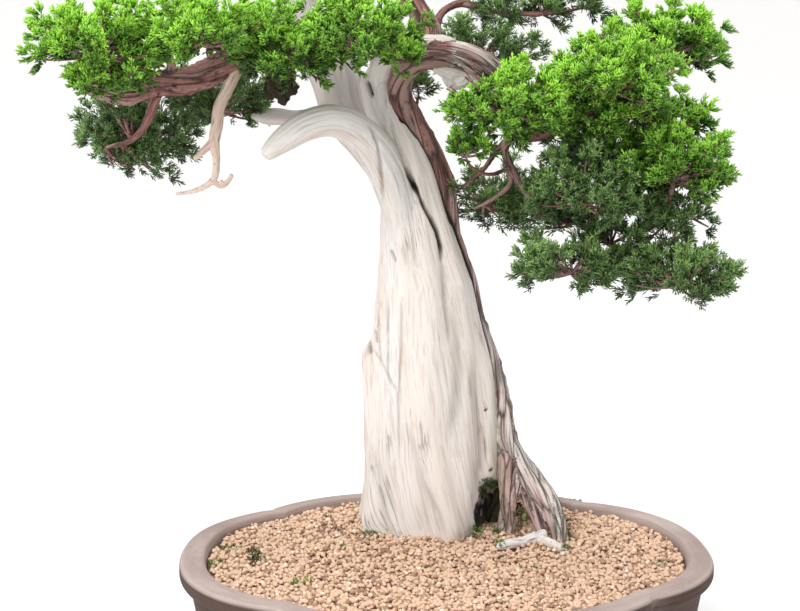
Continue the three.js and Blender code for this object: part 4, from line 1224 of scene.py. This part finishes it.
def mark_bark(point, limb, masks, i):
    """Old grey bark below and past the top of the arch, a line of painted shade by the bare wood, painted
    shade on the root in the hollow foot, and moss.
    """
    x, y, z = point
    worn = masks["worn"][i]
    if limb == 0:
        past_arch = clipped((x - 2 + 7 * perlin(y / 7, z / 7, 0)) / 6) * (z > 575)
        masks["old"][i] = max(0.85 * clipped((500 - z) / 130), past_arch, clipped((330 - z) / 60))
        # A line of painted shade where the bark meets the bare wood.
        near, _, radius = trunk_closeness(point)
        if 170 < z < 560:
            worn = max(worn, clipped((3.6 - (near - 1) * radius) / 1.8))
    elif limb <= len(ROOTS):
        masks["old"][i] = 1
    # Painted shade on the root that stands in the hollow foot.
    if limb == HIDDEN_ROOT and z < 172:
        worn = max(worn, 0.85)
    masks["worn"][i] = worn
    algae = clipped((250 - z) / 60) * clipped((72 - x) / 10) * 0.3
    masks["moss"][i] = max(algae, (134 - z) / 26 * max(0, 0.35 + 1.4 * perlin(x / 8, y / 8, z / 10)))


def make_living_wood(material):
    limbs = [BARK_STRIP, *ROOTS, *BRANCHES, *TWIGS]
    skin = carved_limbs("living_bark", limbs, step=4, voxel=BARK_SKIN, fine=0.1, cracks=0.16, mark=mark_bark)
    finish_piece(skin, material, "juniper_bark", "living_wood")


def make_burl(material):
    """A dark cluster of old growth under the left branch, drawn to a point below."""
    rng = random.Random(8)
    x, y, z = BURL_CENTRE
    knobs = [lump((x, y, z), (14, 12, 14), seed=1, roughness=0.3, subdivisions=4),
             lump((x + 3, y, z - 14), (6, 6, 9), seed=2, roughness=0.3, subdivisions=4)]
    for i in range(BURL_KNOBS):
        turn = i * 2.4
        at = (x + 11 * math.cos(turn), y + 8 * math.sin(turn), z + rng.uniform(-10, 9))
        half = (rng.uniform(5, 8), rng.uniform(5, 7), rng.uniform(6, 9))
        knobs.append(lump(at, half, seed=3 + i, roughness=0.35, subdivisions=3))
    knot = remeshed(joined(knobs, "burl_knot"), BURL_SKIN, relax=1)
    co, normals = vertex_rows(knot.data), vertex_rows(knot.data, "normal")
    rough = np.array([perlin(*(point / 3.5)) + 0.6 * perlin(*(point / 1.8)) for point in co])
    move_points(knot.data, co + normals * (1.1 * rough)[:, None])
    # Painted light: the burl is lighter towards its top and on its raised knobs, darker in its dips.
    write_attribute(knot.data, "light", np.clip((co[:, 2] - z + 4) / 22 + 0.5 * rough, 0, 1))
    to_frame(knot)
    finish_piece(knot, material, "juniper_bark", "living_wood")


# ---- Scattering small shapes ---------------------------------------------------------------------


def scatter_tree():
    """A node tree that puts one of several shapes on each point, turned and sized as it says."""
    tree = bpy.data.node_groups.new("scatter", "GeometryNodeTree")
    tree.interface.new_socket("Geometry", in_out="INPUT", socket_type="NodeSocketGeometry")
    tree.interface.new_socket("Shapes", in_out="INPUT", socket_type="NodeSocketCollection")
    tree.interface.new_socket("Geometry", in_out="OUTPUT", socket_type="NodeSocketGeometry")
    add = tree.nodes.new
    source, sink = add("NodeGroupInput"), add("NodeGroupOutput")
    shapes = add("GeometryNodeCollectionInfo")
    shapes.inputs["Separate Children"].default_value = True
    shapes.inputs["Reset Children"].default_value = True
    tree.links.new(source.outputs["Shapes"], shapes.inputs["Collection"])
    put = add("GeometryNodeInstanceOnPoints")
    put.inputs["Pick Instance"].default_value = True
    tree.links.new(source.outputs["Geometry"], put.inputs["Points"])
    tree.links.new(shapes.outputs[0], put.inputs["Instance"])
    for name, kind, socket in (("kind", "INT", "Instance Index"), ("turn", "FLOAT_VECTOR", "Rotation"),
                               ("size", "FLOAT_VECTOR", "Scale")):
        read = add("GeometryNodeInputNamedAttribute")
        read.data_type = kind
        read.inputs["Name"].default_value = name
        tree.links.new(read.outputs["Attribute"], put.inputs[socket])
    real = add("GeometryNodeRealizeInstances")
    tree.links.new(put.outputs["Instances"], real.inputs["Geometry"])
    tree.links.new(real.outputs["Geometry"], sink.inputs["Geometry"])
    return tree


SCATTER = scatter_tree()


def shape_set(name, shapes):
    """A collection of small shapes to scatter, off the stage."""
    collection = bpy.data.collections.new(name)
    for number, mesh in enumerate(shapes):
        mesh.shade_smooth()
        collection.objects.link(bpy.data.objects.new(f"{name}_{number:02d}", mesh))
    return collection


def drop_shapes(collection):
    for shape in list(collection.objects):
        bpy.data.objects.remove(shape)
    bpy.data.collections.remove(collection)


def scattered(name, collection, spots, label):
    """One mesh of shapes at spots (point, turn, size in mm, kind, value); label names the value."""
    mesh = bpy.data.meshes.new(name)
    mesh.vertices.add(len(spots))
    mesh.vertices.foreach_set("co", np.array([spot[0] for spot in spots], np.float32).ravel())
    write_attribute(mesh, "turn", [tuple(spot[1]) for spot in spots])
    write_attribute(mesh, "size", [[spot[2] * MM] * 3 for spot in spots])
    kinds = mesh.attributes.new("kind", "INT", "POINT")
    kinds.data.foreach_set("value", np.array([spot[3] for spot in spots], np.int32))
    write_attribute(mesh, label, [spot[4] for spot in spots])
    piece = link(name, mesh)
    scatter = piece.modifiers.new("scatter", "NODES")
    scatter.node_group = SCATTER
    scatter["Socket_1"] = collection    # the tree's input called Shapes
    piece = settle(piece)
    for spare in ("turn", "size", "kind"):
        if spare in piece.data.attributes:
            piece.data.attributes.remove(piece.data.attributes[spare])
    return piece


# ---- Soil ----------------------------------------------------------------------------------------

SOIL_AT_WALL = 112
SOIL_MOUND = 2
SOIL_MOUND_RADIUS = 130
TRUNK_FOOT = (-20, 105)
TRUNK_MEETS_SOIL = 108
SOIL_EDGE = 242.8
BED_FLOOR = 24.6        # just above the floor of the pot
BED_FLOOR_RADIUS = 223
BED_RADIUS = 241.9
BED_TOP = 109           # the bed's own height, before it takes on the level of the soil
BED_FIRST_RING = 240
BED_RING = 6
BED_RINGS = 40
BED_STEPS = 200
BED_BELOW_GRAINS = 4.2
BED_PITS = 1.2
GRAIN_KINDS = 8
GRAIN_SIZE = 2.8
GRAIN_SPACING = 4.95
ROW_SPACING = 0.866     # rows of grains, as a share of the spacing in a row
GRAIN_FIELD = 500
GRAIN_COLUMNS = 56      # on each side of the middle
GRAIN_SHIFT = 1.5
GRAINS_SUNK = 1.4
LOOSE_GRAINS = 2000
LOOSE_REACH = 262
PIT = {"centre": (68, 13), "radius": 6.5, "length": 1.7, "depth": 8}


def pit_share(x, y):
    """1 in the middle of the small pit under the bare root, 0 away from it."""
    away = math.hypot((x - PIT["centre"][0]) / PIT["length"], y - PIT["centre"][1]) / PIT["radius"]
    return math.exp(-away ** 4)


def soil_level(x, y):
    """Height of the soil at a point measured from the axis of the pot, unturned."""
    away = math.hypot(x - TRUNK_FOOT[0], y - TRUNK_FOOT[1]) / SOIL_MOUND_RADIUS
    roll = 1.5 * perlin(x / 48, y / 48, 1)
    return SOIL_AT_WALL + SOIL_MOUND * math.exp(-away * away) + roll - PIT["depth"] * pit_share(x, y)


def inside_wall(x, y, margin):
    """Whether a point measured unturned from the axis lies within the wall of the pot."""
    angle = math.atan2(y, x) - POT_TURN
    return math.hypot(x, y) < rim_distance(angle) * SOIL_EDGE / POT_HALF_LENGTH - margin


def make_soil_bed(material):
    """The soil under the loose grains, down to the floor of the pot."""
    bm = bmesh.new()
    rings = [(BED_FIRST_RING - BED_RING * i, BED_TOP) for i in range(BED_RINGS)]
    outline(bm, [(0, BED_FLOOR), (BED_FLOOR_RADIUS, BED_FLOOR), (BED_RADIUS, BED_TOP - 0.5), *rings,
                 (0, BED_TOP)])
    spin_outline(bm, BED_STEPS, 1e-3)
    turn = Matrix.Rotation(POT_TURN, 3, "Z")
    for vert in bm.verts:
        scale = rim_distance(math.atan2(vert.co.y, vert.co.x)) / POT_HALF_LENGTH
        vert.co.x *= scale
        vert.co.y *= scale
        vert.co = turn @ vert.co
        if vert.co.z > BED_TOP - 0.1:
            pits = noise.noise(vert.co / 5) * BED_PITS
            vert.co.z = soil_level(vert.co.x, vert.co.y) - BED_BELOW_GRAINS + pits
    bed = piece_from(bm, "soil_bed", recalculate=True)
    # Painted shade: the bed is darker than the grains, as shade in the gaps between them, and near black in
    # the pit as a painted shadow.
    tones = [(0.05 + 0.1 * perlin(x / 6, y / 6, z / 6)) * (1 - pit_share(x, y))
             for x, y, z in vertex_rows(bed.data)]
    write_attribute(bed.data, "tone", tones)
    to_frame(bed)
    finish_piece(bed, material, "soil_grains", "soil")


def grain_shapes(count, seed):
    """Rounded, slightly knocked grains of baked clay."""
    rng = random.Random(seed)
    shapes = []
    for _ in range(count):
        bm = bmesh.new()
        bmesh.ops.create_uvsphere(bm, u_segments=5, v_segments=4, radius=1)
        stretch = (rng.uniform(0.88, 1.25), rng.uniform(0.85, 1.1), rng.uniform(0.75, 0.95))
        tilt = Euler((rng.uniform(0, 3), rng.uniform(0, 3), 0)).to_matrix()
        for vert in bm.verts:
            knock = rng.uniform(0.9, 1.1)
            vert.co = tilt @ Vector([part * wide * knock for part, wide in zip(vert.co, stretch)])
        shapes.append(mesh_from(bm, "grain"))
    return shapes


def in_wood(x, y, margin):
    """Whether a spot on the soil lies under the trunk."""
    left, right, middle, depth = trunk_section(TRUNK_MEETS_SOIL)
    across = (x - (left + right) / 2) / ((right - left) / 2 - margin)
    back = (y - middle) / (depth - margin)
    return math.hypot(across, back) < flute(math.atan2(back, across), TRUNK_MEETS_SOIL)


def make_grains(material):
    """The grains that lie at the top of the soil, in a front and a back half, and loose ones."""
    rng = random.Random(11)
    shapes = shape_set("grains", grain_shapes(GRAIN_KINDS, 5))

    def grain_spot(x, y, lift, small, large, lean):
        size = GRAIN_SIZE * rng.uniform(small, large)
        turn = (rng.uniform(-lean, lean), rng.uniform(-lean, lean), rng.uniform(0, math.tau))
        at = place(x, y, soil_level(x, y) + lift)
        return at, turn, size, rng.randrange(GRAIN_KINDS), rng.uniform(0.1, 1)

    halves = {"soil_grains_front": [], "soil_grains_back": []}
    rows = int(GRAIN_FIELD / (GRAIN_SPACING * ROW_SPACING))
    for row in range(-rows // 2, rows // 2):
        for column in range(-GRAIN_COLUMNS, GRAIN_COLUMNS + 1):
            x = (column + 0.5 * (row % 2)) * GRAIN_SPACING + rng.uniform(-GRAIN_SHIFT, GRAIN_SHIFT)
            y = row * GRAIN_SPACING * ROW_SPACING + rng.uniform(-GRAIN_SHIFT, GRAIN_SHIFT)
            if inside_wall(x, y, 3) and not in_wood(x, y, 5) and pit_share(x, y) < 0.4:
                half = "soil_grains_front" if y < 0 else "soil_grains_back"
                lift = rng.uniform(-1.1, 1.3) - GRAINS_SUNK
                halves[half].append(grain_spot(x, y, lift, 0.8, 1.25, 0.6))
    loose = []
    while len(loose) < LOOSE_GRAINS:
        angle, reach = rng.uniform(0, math.tau), math.sqrt(rng.random()) * LOOSE_REACH
        x, y = reach * math.cos(angle), reach * math.sin(angle)
        if inside_wall(x, y, 4) and not in_wood(x, y, 2) and pit_share(x, y) < 0.1:
            loose.append(grain_spot(x, y, rng.uniform(0.6, 2.2), 0.62, 1.15, 0.9))
    for name, spots in (*halves.items(), ("loose_grains", loose)):
        finish_piece(scattered(name, shapes, spots, "tone"), material, "soil_grains", "soil")
    drop_shapes(shapes)


# ---- Foliage -------------------------------------------------------------------------------------


def shoot(bm, tip_layer, base, way, length, width, tip_from, tip_to):
    """One scaly finger of a spray: three slim sides that swell past the middle and end in a point."""
    made = bmesh.ops.create_cone(bm, cap_ends=True, segments=3, radius1=width / 2, radius2=0,
                                 depth=1)["verts"]
    ring = [vert for vert in made if vert.co.z < 0]
    end = next(face for face in ring[0].link_faces if all(vert in ring for vert in face.verts))
    foot = bmesh.ops.poke(bm, faces=[end])["verts"][0]
    for vert in made:
        vert.co.z = length * (0.6 if vert in ring else 1)
    foot.co.z = 0
    turn = Vector(way).to_track_quat("Z", "Y").to_matrix().to_4x4()
    for vert in (*made, foot):
        vert[tip_layer] = tip_from + (tip_to - tip_from) * vert.co.z / length
    bmesh.ops.transform(bm, matrix=Matrix.Translation(base) @ turn, verts=[*made, foot])


def fan_way(turn, open_out):
    """A direction that leans open_out from straight up, towards turn."""
    return Vector((math.cos(turn) * math.sin(open_out), math.sin(turn) * math.sin(open_out),
                   math.cos(open_out)))


def level_way(turn, rise):
    """A direction that rises by the share rise, towards turn."""
    level = math.sqrt(max(0.0, 1 - rise * rise))
    return Vector((level * math.cos(turn), level * math.sin(turn), rise))


def spray_shapes(count, seed, side_shoots, length, width, fan):
    """Small fans of shoots on a short stalk, a few dozen faces each, in unit millimetres."""
    rng = random.Random(seed)
    shapes = []
    for _ in range(count):
        bm = bmesh.new()
        tip_layer = bm.verts.layers.float.new("tip")
        lean = Vector((rng.uniform(-0.15, 0.15), rng.uniform(-0.15, 0.15), 1)).normalized()
        shoot(bm, tip_layer, Vector((0, 0, 0)), lean, length, width, 0.1, 1.0)
        for i in range(side_shoots):
            share = (i + 0.6) / (side_shoots + 0.6)
            way = fan_way(i * 2.4 + rng.uniform(-0.5, 0.5), fan * rng.uniform(0.75, 1.2))
            reach = length * rng.uniform(0.42, 0.62) * (1.1 - 0.35 * share)
            shoot(bm, tip_layer, lean * length * share * 0.72, way, reach, width * rng.uniform(0.8, 1.0),
                  0.15 + 0.5 * share, 0.6 + 0.4 * share)
        shapes.append(mesh_from(bm, "spray", recalculate=True))
    return shapes


# Each pad: how brightly it is painted lit, its branchlets, tufts on each, sprays in a tuft, and kind of
# shoot.
PADS = {
    "foliage_left_front": (1.12, 26, 6, 8, "young"),
    "foliage_left_upper": (1.04, 26, 6, 8, "young"),
    "foliage_left_inner": (0.82, 26, 6, 8, "young"),
    "foliage_left_tip": (0.7, 24, 6, 8, "young"),
    "foliage_left_lower": (0.45, 24, 6, 7, "grown"),
    "foliage_left_back": (0.4, 22, 6, 7, "grown"),
    "foliage_right_front": (0.95, 27, 6, 8, "young"),
    "foliage_right_mid": (1.0, 28, 6, 8, "young"),
    "foliage_right_back": (0.8, 25, 6, 8, "young"),
    "foliage_right_deep": (0.62, 24, 6, 7, "grown"),
    "foliage_right_low_front": (0.5, 24, 6, 7, "grown"),
    "foliage_right_outer": (0.62, 26, 6, 8, "young"),
    "foliage_right_low": (0.45, 20, 6, 7, "grown"),
    "foliage_right_low_outer": (0.5, 24, 6, 7, "grown"),
    "foliage_right_inner": (0.45, 20, 6, 6, "grown"),
    "foliage_top_right": (0.6, 22, 4, 4, "grown"),
    "foliage_crown_right": (0.85, 25, 6, 7, "young"),
    "foliage_crown_left": (0.85, 25, 6, 7, "young"),
    "foliage_crown_top": (0.9, 25, 6, 7, "young"),
    "foliage_back": (0.5, 23, 6, 7, "grown"),
}
BRIGHT_PADS = {
    "foliage_left_front", "foliage_left_upper", "foliage_left_inner", "foliage_right_front",
    "foliage_right_mid", "foliage_crown_right", "foliage_crown_left", "foliage_crown_top",
}
SHOOTS = {
    "young": {"side_shoots": 6, "length": 14.5, "width": 2.3, "fan": 0.5},
    "grown": {"side_shoots": 7, "length": 15, "width": 1.6, "fan": 0.55},
}
SPRAY_KINDS = 6
BRANCHLET_REACH = {"young": 1.04, "grown": 1.12}   # how far out branchlets go, in half sizes of a pad
GOLDEN_TURN = 2.39996   # sets branchlets evenly round their root
BEND_SHARES = (0, 0.25, 0.5, 0.75, 1)
LOWEST_RISE = -0.66     # how steeply the lowest branchlet falls, and from there to the highest
RISE_RANGE = 1.64
ARCH_SIDES = (-25, 58)  # no spray hides the arch between these sides, its sill and its top
ARCH_SILL = 574
ARCH_SLOPE = 0.6
ARCH_TOP = 640
ARCH_FRONT = 45
STEM_RADII = {"slim": (1.8, 1.5, 1.3, 1.1, 0.8), "stout": (3.2, 2.9, 2.7, 2.5, 2.2)}

# Foliage that links the pads: x, y, z of its middle, how far it spreads, and how brightly it is painted lit.
LINKING_FOLIAGE = {
    "right_young": ("young", [
        (146, -15, 556, 32, 0.8), (111, 0, 550, 28, 0.6), (186, -10, 563, 30, 0.9), (236, 20, 558, 24, 0.8),
        (50, -10, 538, 22, 0.6), (22, 0, 527, 18, 0.5), (214, 28, 508, 28, 0.5),
    ]),
    "right_grown": ("grown", [
        (153, 20, 509, 34, 0.45), (194, 20, 466, 30, 0.45), (238, 12, 458, 24, 0.6), (129, 20, 449, 24, 0.35),
        (173, 12, 440, 28, 0.4), (218, 8, 438, 26, 0.45), (60, 108, 447, 24, 0.4), (98, 96, 444, 18, 0.4),
        (52, 98, 662, 20, 0.6), (98, 88, 660, 18, 0.6), (140, 82, 668, 16, 0.6),
    ]),
    "left_young": ("young", [
        (-61, -10, 622, 18, 0.9), (-306, -30, 604, 26, 1.0), (-336, -40, 590, 22, 0.95),
        (-345, 15, 590, 26, 0.7), (-110, 20, 612, 15, 0.5), (-140, 0, 600, 16, 0.4), (-104, 4, 606, 13, 0.45),
        (-52, -18, 614, 11, 0.8),
    ]),
    "left_grown": ("grown", [
        (-335, 75, 572, 24, 0.5), (-146, 36, 600, 20, 0.3), (-340, 96, 504, 18, 0.35),
        (-312, 98, 500, 18, 0.35), (-264, 85, 574, 22, 0.35), (-184, 44, 606, 16, 0.25),
        (-31, 100, 584, 8, 0.6),
    ]),
}


def random_way(rng):
    rise, turn = rng.uniform(-1, 1), rng.uniform(0, math.tau)
    return level_way(turn, rise)


def in_the_open(point):
    """Whether a spray may stand here, which it may not in front of the arch of the trunk."""
    x, y, z = (point - POT_AXIS) / MM
    before_arch = ARCH_SIDES[0] < x < ARCH_SIDES[1] and ARCH_SILL + ARCH_SLOPE * x < z < ARCH_TOP
    return not (before_arch and y < ARCH_FRONT)


def branch_out(rng, root, centre, half, counts, kind, brightness):
    """Branchlets that fan out from a root to a form, each with tufts of sprays along its outer
    part. Gives where the sprays stand, and the routes of the branchlets."""
    branchlets, tufts, sprays = counts
    spots, routes = [], []
    for i in range(branchlets):
        rise = LOWEST_RISE + RISE_RANGE * (i + rng.random()) / branchlets
        way = level_way(i * GOLDEN_TURN + rng.uniform(-0.35, 0.35), rise)
        reach = BRANCHLET_REACH[kind] * rng.uniform(0.7, 1.04) * (1.14 if i % 6 == 2 else 1)
        end = centre + Vector([w * h * reach for w, h in zip(way, half)])
        bend = root.lerp(end, 0.55) - Vector((0, 0, 0.14 * half.z)) + random_way(rng) * 4 * MM
        routes.append([on_bend(root, bend, end, t) for t in BEND_SHARES])
        ahead = (end - bend).normalized()
        for j in range(tufts):
            t = 0.34 + 0.66 * (j + rng.uniform(0.3, 1.0)) / tufts
            heart = on_bend(root, bend, end, t) + random_way(rng) * rng.uniform(2, 10) * MM
            out = (ahead * 0.6 + (heart - centre).normalized() * 0.4 + Vector((0, 0, 0.4))).normalized()
            fresh = rng.uniform(-0.24, 0.24)
            for _ in range(sprays):
                aim = (out + random_way(rng) * 0.78).normalized()
                start = heart + aim * rng.uniform(0, 5) * MM
                if not in_the_open(start + aim * 6 * MM):
                    continue
                spin = Euler((0, 0, rng.uniform(0, math.tau))).to_quaternion()
                turned = (aim.to_track_quat("Z", "Y") @ spin).to_euler()
                size = rng.uniform(0.7, 1.15)
                height = clipped((start.z - centre.z) / half.z, low=-1)
                # Painted light: sprays high in a pad, far out on a branchlet and facing up or to the front
                # are brighter.
                sky = 0.22 + 0.3 * t + 0.34 * height + 0.22 * aim.z - 0.1 * aim.y
                light = clipped((sky + fresh) * (0.3 + 0.7 * brightness))
                spots.append((start, turned, size, rng.randrange(SPRAY_KINDS), light))
    return spots, routes


def nearest(points, to):
    return min(points, key=lambda point: (point - to).length)


def make_foliage(bright, deep):
    """Dresses every pad, links the pads, and gives back the routes of all the branchlets."""
    sets = {kind: shape_set(kind, spray_shapes(SPRAY_KINDS, 40 + index, **settings))
            for index, (kind, settings) in enumerate(SHOOTS.items())}
    leaf = {"young": bright, "grown": deep}
    carriers = [place(*sample[:3]) for limb in (*BRANCHES, *TWIGS) for sample in smooth_route(limb, 6)]
    stems = []
    for index, (name, (brightness, branchlets, tufts, sprays, kind)) in enumerate(PADS.items()):
        low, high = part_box(name)
        centre, half = (low + high) / 2, (high - low) / 2
        root = centre - Vector((0, 0, 0.35 * half.z))
        counts = (branchlets, tufts, sprays)
        spots, routes = branch_out(random.Random(300 + index), root, centre, half, counts, kind, brightness)
        pad = scattered(f"{name}_sprays", sets[kind], spots, "light")
        slot = "bright_foliage" if name in BRIGHT_PADS else "deep_foliage"
        finish_piece(pad, leaf[kind], slot, name)
        carrier = nearest(carriers, root)
        bend = carrier.lerp(root, 0.55) - Vector((0, 0, 0.16 * (root - carrier).length))
        stems.append(([on_bend(carrier, bend, root, t) for t in BEND_SHARES], "stout"))
        stems.extend((route, "slim") for route in routes)
    for name, (kind, places) in LINKING_FOLIAGE.items():
        rng = random.Random(name)
        spots = []
        for x, y, z, spread, brightness in places:
            centre = place(x, y, z)
            half = Vector((spread, spread, spread * 0.8)) * MM
            counts = (max(4, round(spread / 3.4)), 4, 7)
            more, routes = branch_out(rng, nearest(carriers, centre), centre, half, counts, kind, brightness)
            spots.extend(more)
            stems.extend((route, "slim") for route in routes)
        linking = scattered(f"linking_sprays_{name}", sets[kind], spots, "light")
        finish_piece(linking, leaf[kind], "bright_foliage" if kind == "young" else "deep_foliage")
    for shapes in sets.values():
        drop_shapes(shapes)
    return stems


def make_pad_twigs(stems, material):
    """The stems that carry the pads, and the branchlets from there out to the last tuft."""
    routes = []
    for path, thickness in stems:
        points = [(point - POT_AXIS) / MM for point in path]
        routes.append(np.array([(*point, radius) for point, radius in zip(points, STEM_RADII[thickness])]))
    twigs = limbs_piece("pad_twigs", routes, roundness=1)
    write_attribute(twigs.data, "grain", vertex_rows(twigs.data)[:, [2, 1, 0]] * MM)
    to_frame(twigs)
    finish_piece(twigs, material, "juniper_bark", "living_wood")


# ---- Moss and small plants -----------------------------------------------------------------------

# Each patch: its middle, its half sizes, how many sprays, and how green it is.
MOSS_PATCHES = [
    ((-79, 62, 113), (11, 7, 3), 34, 0.75),
    ((46, 78, 166), (8, 8, 4), 40, 0.2),
    ((42, 70, 158), (3, 8, 6), 16, 0.1),
    ((34, 52, 118), (4, 5, 7), 26, 0.5),
    ((56, 66, 114), (3, 4, 6), 14, 0.6),
    ((78, 100, 130), (9, 10, 8), 44, 0.25),
    ((88, 86, 126), (10, 8, 6), 44, 0.85),
    ((128, 70, 122), (6, 12, 9), 50, 0.3),
    ((130, 52, 114), (6, 5, 4), 22, 0.55),
    ((57, 19, 117), (5, 4, 2), 16, 0.85),
    ((124, 13, 113), (4, 3, 2), 14, 0.85),
    ((-196, -6, 114), (9, 9, 4), 46, 0.12),
    ((-191, -24, 114), (6, 11, 3), 34, 0.05),
    ((-224, 16, 113), (9, 6, 2), 22, 0.3),
    ((-233, -34, 113), (6, 12, 2), 24, 0.6),
    ((150, 182, 113), (10, 6, 2), 16, 0.4),
    ((215, -40, 113), (8, 10, 2), 16, 0.6),
]
MOSS_KINDS = 5
SPROUTS = [
    (-152, -96), (-147, -101), (-141, -94), (-144, -100), (-137, -97), (-109, 20), (82, -47), (76, -50),
]
SPROUT_KINDS = 4
SPROUT_LIGHT = 0.95


def make_moss(material):
    """Cushions of moss by the wood and on the soil, dark moss in the rotted foot, and sprouts."""
    rng = random.Random(23)
    cushion = shape_set("moss", spray_shapes(MOSS_KINDS, 90, side_shoots=5, length=5.5, width=1.0, fan=0.9))
    spots = []
    for middle, half, count, green in MOSS_PATCHES:
        for _ in range(count):
            way = random_way(rng)
            aim = (way * 0.8 + Vector((0, -0.15, 0.7))).normalized()
            at = place(*[m + h * part * rng.uniform(0.3, 1) for m, h, part in zip(middle, half, way)])
            light = clipped(green + rng.uniform(-0.3, 0.3))
            turn = aim.to_track_quat("Z", "Y").to_euler()
            spots.append((at, turn, rng.uniform(0.7, 1.2), rng.randrange(MOSS_KINDS), light))
    finish_piece(scattered("moss_cushions", cushion, spots, "light"), material, "bright_foliage")
    drop_shapes(cushion)
    stalks = spray_shapes(SPROUT_KINDS, 95, side_shoots=4, length=11, width=1.9, fan=0.55)
    sprout = shape_set("sprout", stalks)
    spots = []
    for x, y in SPROUTS:
        aim = (random_way(rng) * 0.8 + Vector((0, 0, 1))).normalized()
        at = place(x, y, soil_level(x, y) - 1)
        turn = aim.to_track_quat("Z", "Y").to_euler()
        spots.append((at, turn, 1, rng.randrange(SPROUT_KINDS), SPROUT_LIGHT))
    finish_piece(scattered("soil_sprouts", sprout, spots, "light"), material, "bright_foliage")
    drop_shapes(sprout)


# ---- Dressing the model --------------------------------------------------------------------------

clay = clay_material()
bleached = deadwood_material("bleached_deadwood", pale=(0.765, 0.745, 0.73), warm=(0.74, 0.68, 0.635),
                             rosy=(0.6, 0.4, 0.35), crack_shade=(0.26, 0.19, 0.16))
jin_wood = deadwood_material("bare_jin", pale=(0.76, 0.62, 0.53), warm=(0.65, 0.48, 0.4),
                             rosy=(0.5, 0.3, 0.25), crack_shade=(0.16, 0.09, 0.075))
bark = bark_material()
soil = soil_material("soil_grains", dry=(0.755, 0.54, 0.395), warm=(0.8, 0.55, 0.39),
                     pale=(0.95, 0.84, 0.7), dark=(0.36, 0.215, 0.145))
bright_leaf = foliage_material("bright_foliage", deep=(0.01, 0.045, 0.012), middle=(0.055, 0.21, 0.028),
                               fresh=(0.47, 0.93, 0.085))
deep_leaf = foliage_material("deep_foliage", deep=(0.012, 0.04, 0.015), middle=(0.055, 0.15, 0.042),
                             fresh=(0.46, 0.74, 0.22))
burl_skin = moss_material("burl_skin", deep=(0.04, 0.032, 0.02), fresh=(0.22, 0.21, 0.11))
moss_leaf = moss_material("moss", deep=(0.035, 0.045, 0.022), fresh=(0.2, 0.42, 0.06))

make_pot(clay)
make_soil_bed(soil)
make_grains(soil)
make_deadwood(bleached)
make_living_wood(bark)
make_burl(burl_skin)
stems = make_foliage(bright_leaf, deep_leaf)
make_pad_twigs(stems, bark)
make_moss(moss_leaf)

# Each small piece of bare wood: name, limbs, fineness of its skin, material, slot and node replaced.
for name, limbs, voxel, material, slot, *replaced in (
    ("hanging_jin_wood", HANGING_JIN, 0.8, jin_wood, "bare_jin", "hanging_jin"),
    ("bare_root_wood", BARE_ROOT, 0.9, bleached, "bleached_deadwood", "bare_root"),
    ("under_arch_jin", UNDER_ARCH_JIN, 1.1, bleached, "bleached_deadwood"),
):
    skin = carved_limbs(name, limbs, step=2.5, voxel=voxel, fine=0.08)
    finish_piece(skin, material, slot, *replaced)

screen_plastic = screen_material()
for node in ("drainage_screen_left", "drainage_screen_right"):
    nodes[node].data.materials.clear()
    nodes[node].data.materials.append(screen_plastic)

bpy.context.scene.view_settings.view_transform = "Standard"
